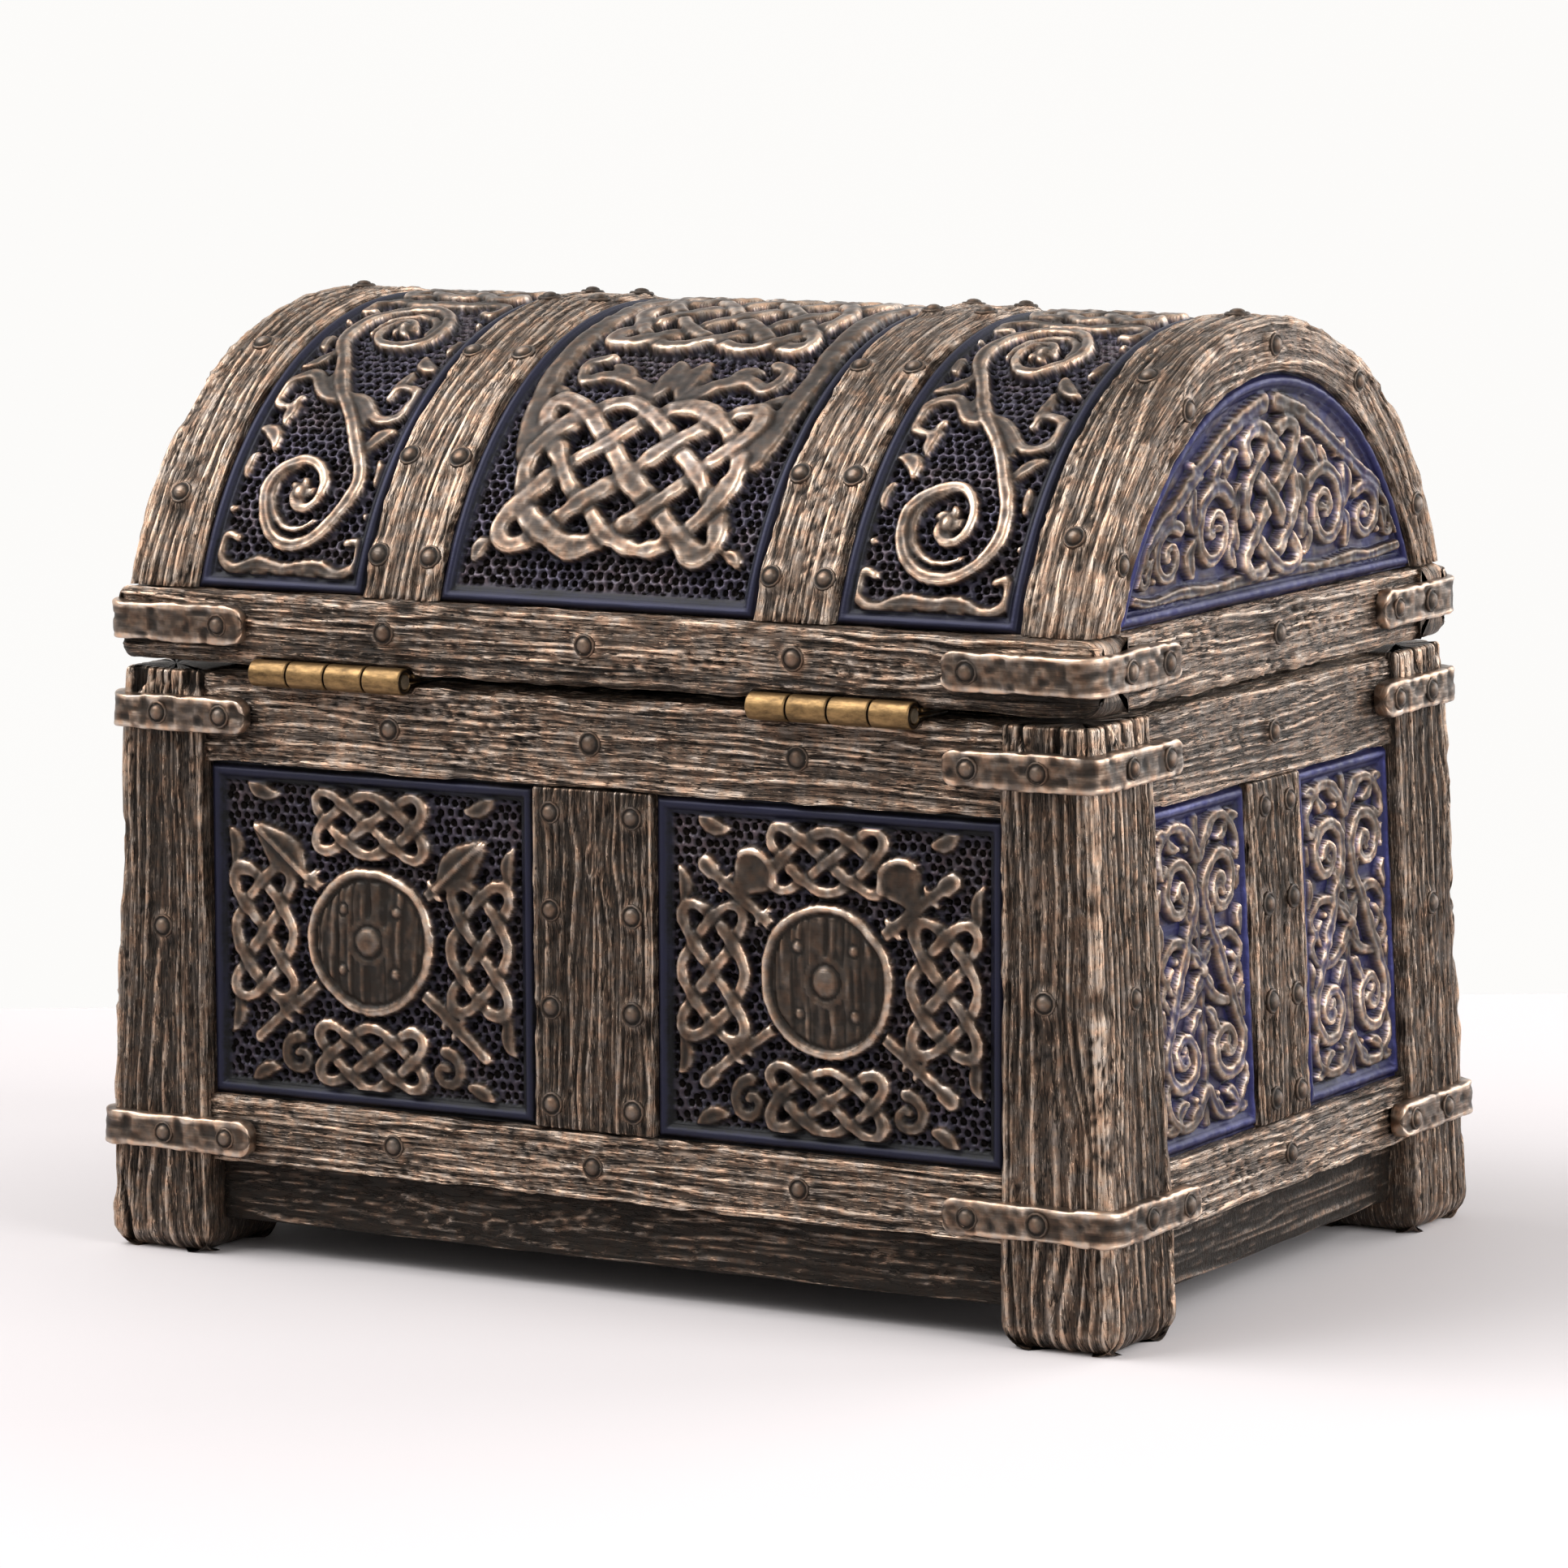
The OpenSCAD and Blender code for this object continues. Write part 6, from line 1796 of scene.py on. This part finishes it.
class CHEST_OT_stage(bpy.types.Operator):
    """Set the pale table, the backdrop, the soft lamps and the camera"""
    bl_idname = "chest.stage"
    bl_label = "Stage"
    bl_options = {"REGISTER", "UNDO"}

    def execute(self, context):
        scene = context.scene
        self.world(scene)
        ahead = np.array([math.sin(YAW), -math.cos(YAW)])
        aside = np.array([-ahead[1], ahead[0]])
        eye = np.array(EYE[:2])
        # The table ends at an edge that the camera sees, 0.945 m ahead of it
        table = [eye + ahead * f + aside * g for f, g in ((-1.4, -2.2), (-1.4, 2.2), (0.945, 2.2), (0.945, -2.2))]
        self.sheet("table_top", [(x, y, 0.0) for x, y in table], self.plain("table", scene.chest_colours.floor))
        left, right = (eye + ahead * 2.2 + aside * g for g in (-3, 3))
        self.sheet("backdrop", [(*left, -1.2), (*right, -1.2), (*right, 2.5), (*left, 2.5)],
                   self.plain("backdrop", scene.chest_colours.wall, glows=True))
        self.lamp("key", (0.46, 0.34, 0.84), 0.85, 12.4)
        self.lamp("fill", (-0.98, 0.05, 0.45), 0.8, 10.0)
        self.lamp("back", (-0.50, -0.85, 0.42), 0.8, 6.5)
        self.camera(scene)
        scene.view_settings.view_transform = "Standard"
        return {"FINISHED"}

    @staticmethod
    def world(scene):
        """An even pale sky: brighter to the camera and to reflections than as a light."""
        world = bpy.data.worlds.new("studio")
        scene.world = world
        world.use_nodes = True
        tree = world.node_tree
        tree.nodes.clear()
        seen = seen_directly(tree)
        back = new_node(tree, "ShaderNodeBackground", {"Color": (1.0, 0.985, 0.965, 1), "Strength": 1.0})
        light = new_node(tree, "ShaderNodeBackground", {"Color": (1.0, 0.985, 0.965, 1), "Strength": 0.36})
        mix = new_node(tree, "ShaderNodeMixShader", {0: seen, 1: light.outputs[0], 2: back.outputs[0]})
        out = tree.nodes.new("ShaderNodeOutputWorld")
        tree.links.new(mix.outputs[0], out.inputs[0])

    @staticmethod
    def plain(name, tint, glows=False):
        """A matt pale surface. One that glows shows its own colour to the camera, without shadows."""
        material, tree, shader = base_material(name)
        soft = texture(tree, object_place(tree), 3.0, 2.0)
        tone = ramp(tree, soft, ((0.3, [0.985 * v for v in tint]), (0.7, list(tint))))
        tree.links.new(tone, shader.inputs["Base Color"])
        shader.inputs["Roughness"].default_value = 0.7
        if glows:
            glow = new_node(tree, "ShaderNodeEmission", {"Color": tone, "Strength": 1.0})
            shown = {0: seen_directly(tree), 1: shader.outputs[0], 2: glow.outputs[0]}
            mix = new_node(tree, "ShaderNodeMixShader", shown)
            out = next(n for n in tree.nodes if n.type == "OUTPUT_MATERIAL")
            tree.links.new(mix.outputs[0], out.inputs[0])
        return material

    @staticmethod
    def sheet(name, corners, material):
        """A flat stage surface from its corners."""
        mesh = bpy.data.meshes.new(name)
        mesh.from_pydata(corners, [], [(0, 1, 2, 3)])
        mesh.materials.append(material)
        obj = bpy.data.objects.new(name, mesh)
        bpy.context.scene.collection.objects.link(obj)

    @staticmethod
    def lamp(name, at, size, power):
        """A square soft lamp at a place, turned to the chest's middle: its -Z looks along the line there."""
        data = bpy.data.lights.new(name, "AREA")
        data.shape, data.size, data.energy = "SQUARE", size, power
        obj = bpy.data.objects.new(name, data)
        z = np.array(at) - np.array([0, 0, 0.05])
        z /= np.linalg.norm(z)
        x = np.cross([0, 0, 1], z)
        x /= np.linalg.norm(x)
        y = np.cross(z, x)
        obj.matrix_world = Matrix([(*row, p) for row, p in zip(np.stack([x, y, z], 1), at)] + [(0, 0, 0, 1)])
        bpy.context.scene.collection.objects.link(obj)

    @staticmethod
    def camera(scene):
        """The photograph's camera: direction from yaw and pitch, then rolled about it."""
        d = np.array([math.sin(YAW) * math.cos(PITCH), -math.cos(YAW) * math.cos(PITCH), -math.sin(PITCH)])
        right = np.cross(d, [0, 0, 1])
        right /= np.linalg.norm(right)
        up = np.cross(right, d)
        r2 = math.cos(ROLL) * right + math.sin(ROLL) * up
        u2 = -math.sin(ROLL) * right + math.cos(ROLL) * up
        data = bpy.data.cameras.new("photo_camera")
        data.lens, data.sensor_width, data.clip_start, data.clip_end = LENS, SENSOR, 0.01, 20.0
        obj = bpy.data.objects.new("photo_camera", data)
        obj.matrix_world = Matrix([(*row, p) for row, p in zip(np.stack([r2, u2, -d], 1), EYE)] + [(0, 0, 0, 1)])
        scene.collection.objects.link(obj)
        scene.camera = obj


class CHEST_PT_panel(bpy.types.Panel):
    """The chest's steps and sizes"""
    bl_idname = "CHEST_PT_panel"
    bl_label = "Chest"
    bl_space_type = "VIEW_3D"
    bl_region_type = "UI"
    bl_category = "Chest"

    def draw(self, context):
        for step in STEPS:
            self.layout.operator(step.bl_idname)
        for key, group in GROUPS.items():
            box = self.layout.box()
            for name in group.__annotations__:
                box.prop(getattr(context.scene, key), name)


STEPS = (
    CHEST_OT_posts, CHEST_OT_rails, CHEST_OT_stiles, CHEST_OT_wall_panels, CHEST_OT_base, CHEST_OT_straps,
    CHEST_OT_rivets, CHEST_OT_hinges, CHEST_OT_lid_rails, CHEST_OT_ribs, CHEST_OT_dome_panels, CHEST_OT_lunettes,
    CHEST_OT_stage,
)
CLASSES = (*GROUPS.values(), *STEPS, CHEST_PT_panel)


def register():
    """Makes the classes known and hangs the property groups on the scene."""
    for cls in CLASSES:
        bpy.utils.register_class(cls)
    for key, group in GROUPS.items():
        setattr(bpy.types.Scene, key, bpy.props.PointerProperty(type=group))


def unregister():
    """Takes both back."""
    for key in GROUPS:
        delattr(bpy.types.Scene, key)
    for cls in reversed(CLASSES):
        bpy.utils.unregister_class(cls)


def main():
    """Builds everything in order."""
    register()
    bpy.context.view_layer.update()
    for step in STEPS:
        group, name = step.bl_idname.split(".")
        getattr(getattr(bpy.ops, group), name)()


if __name__ == "__main__":
    main()
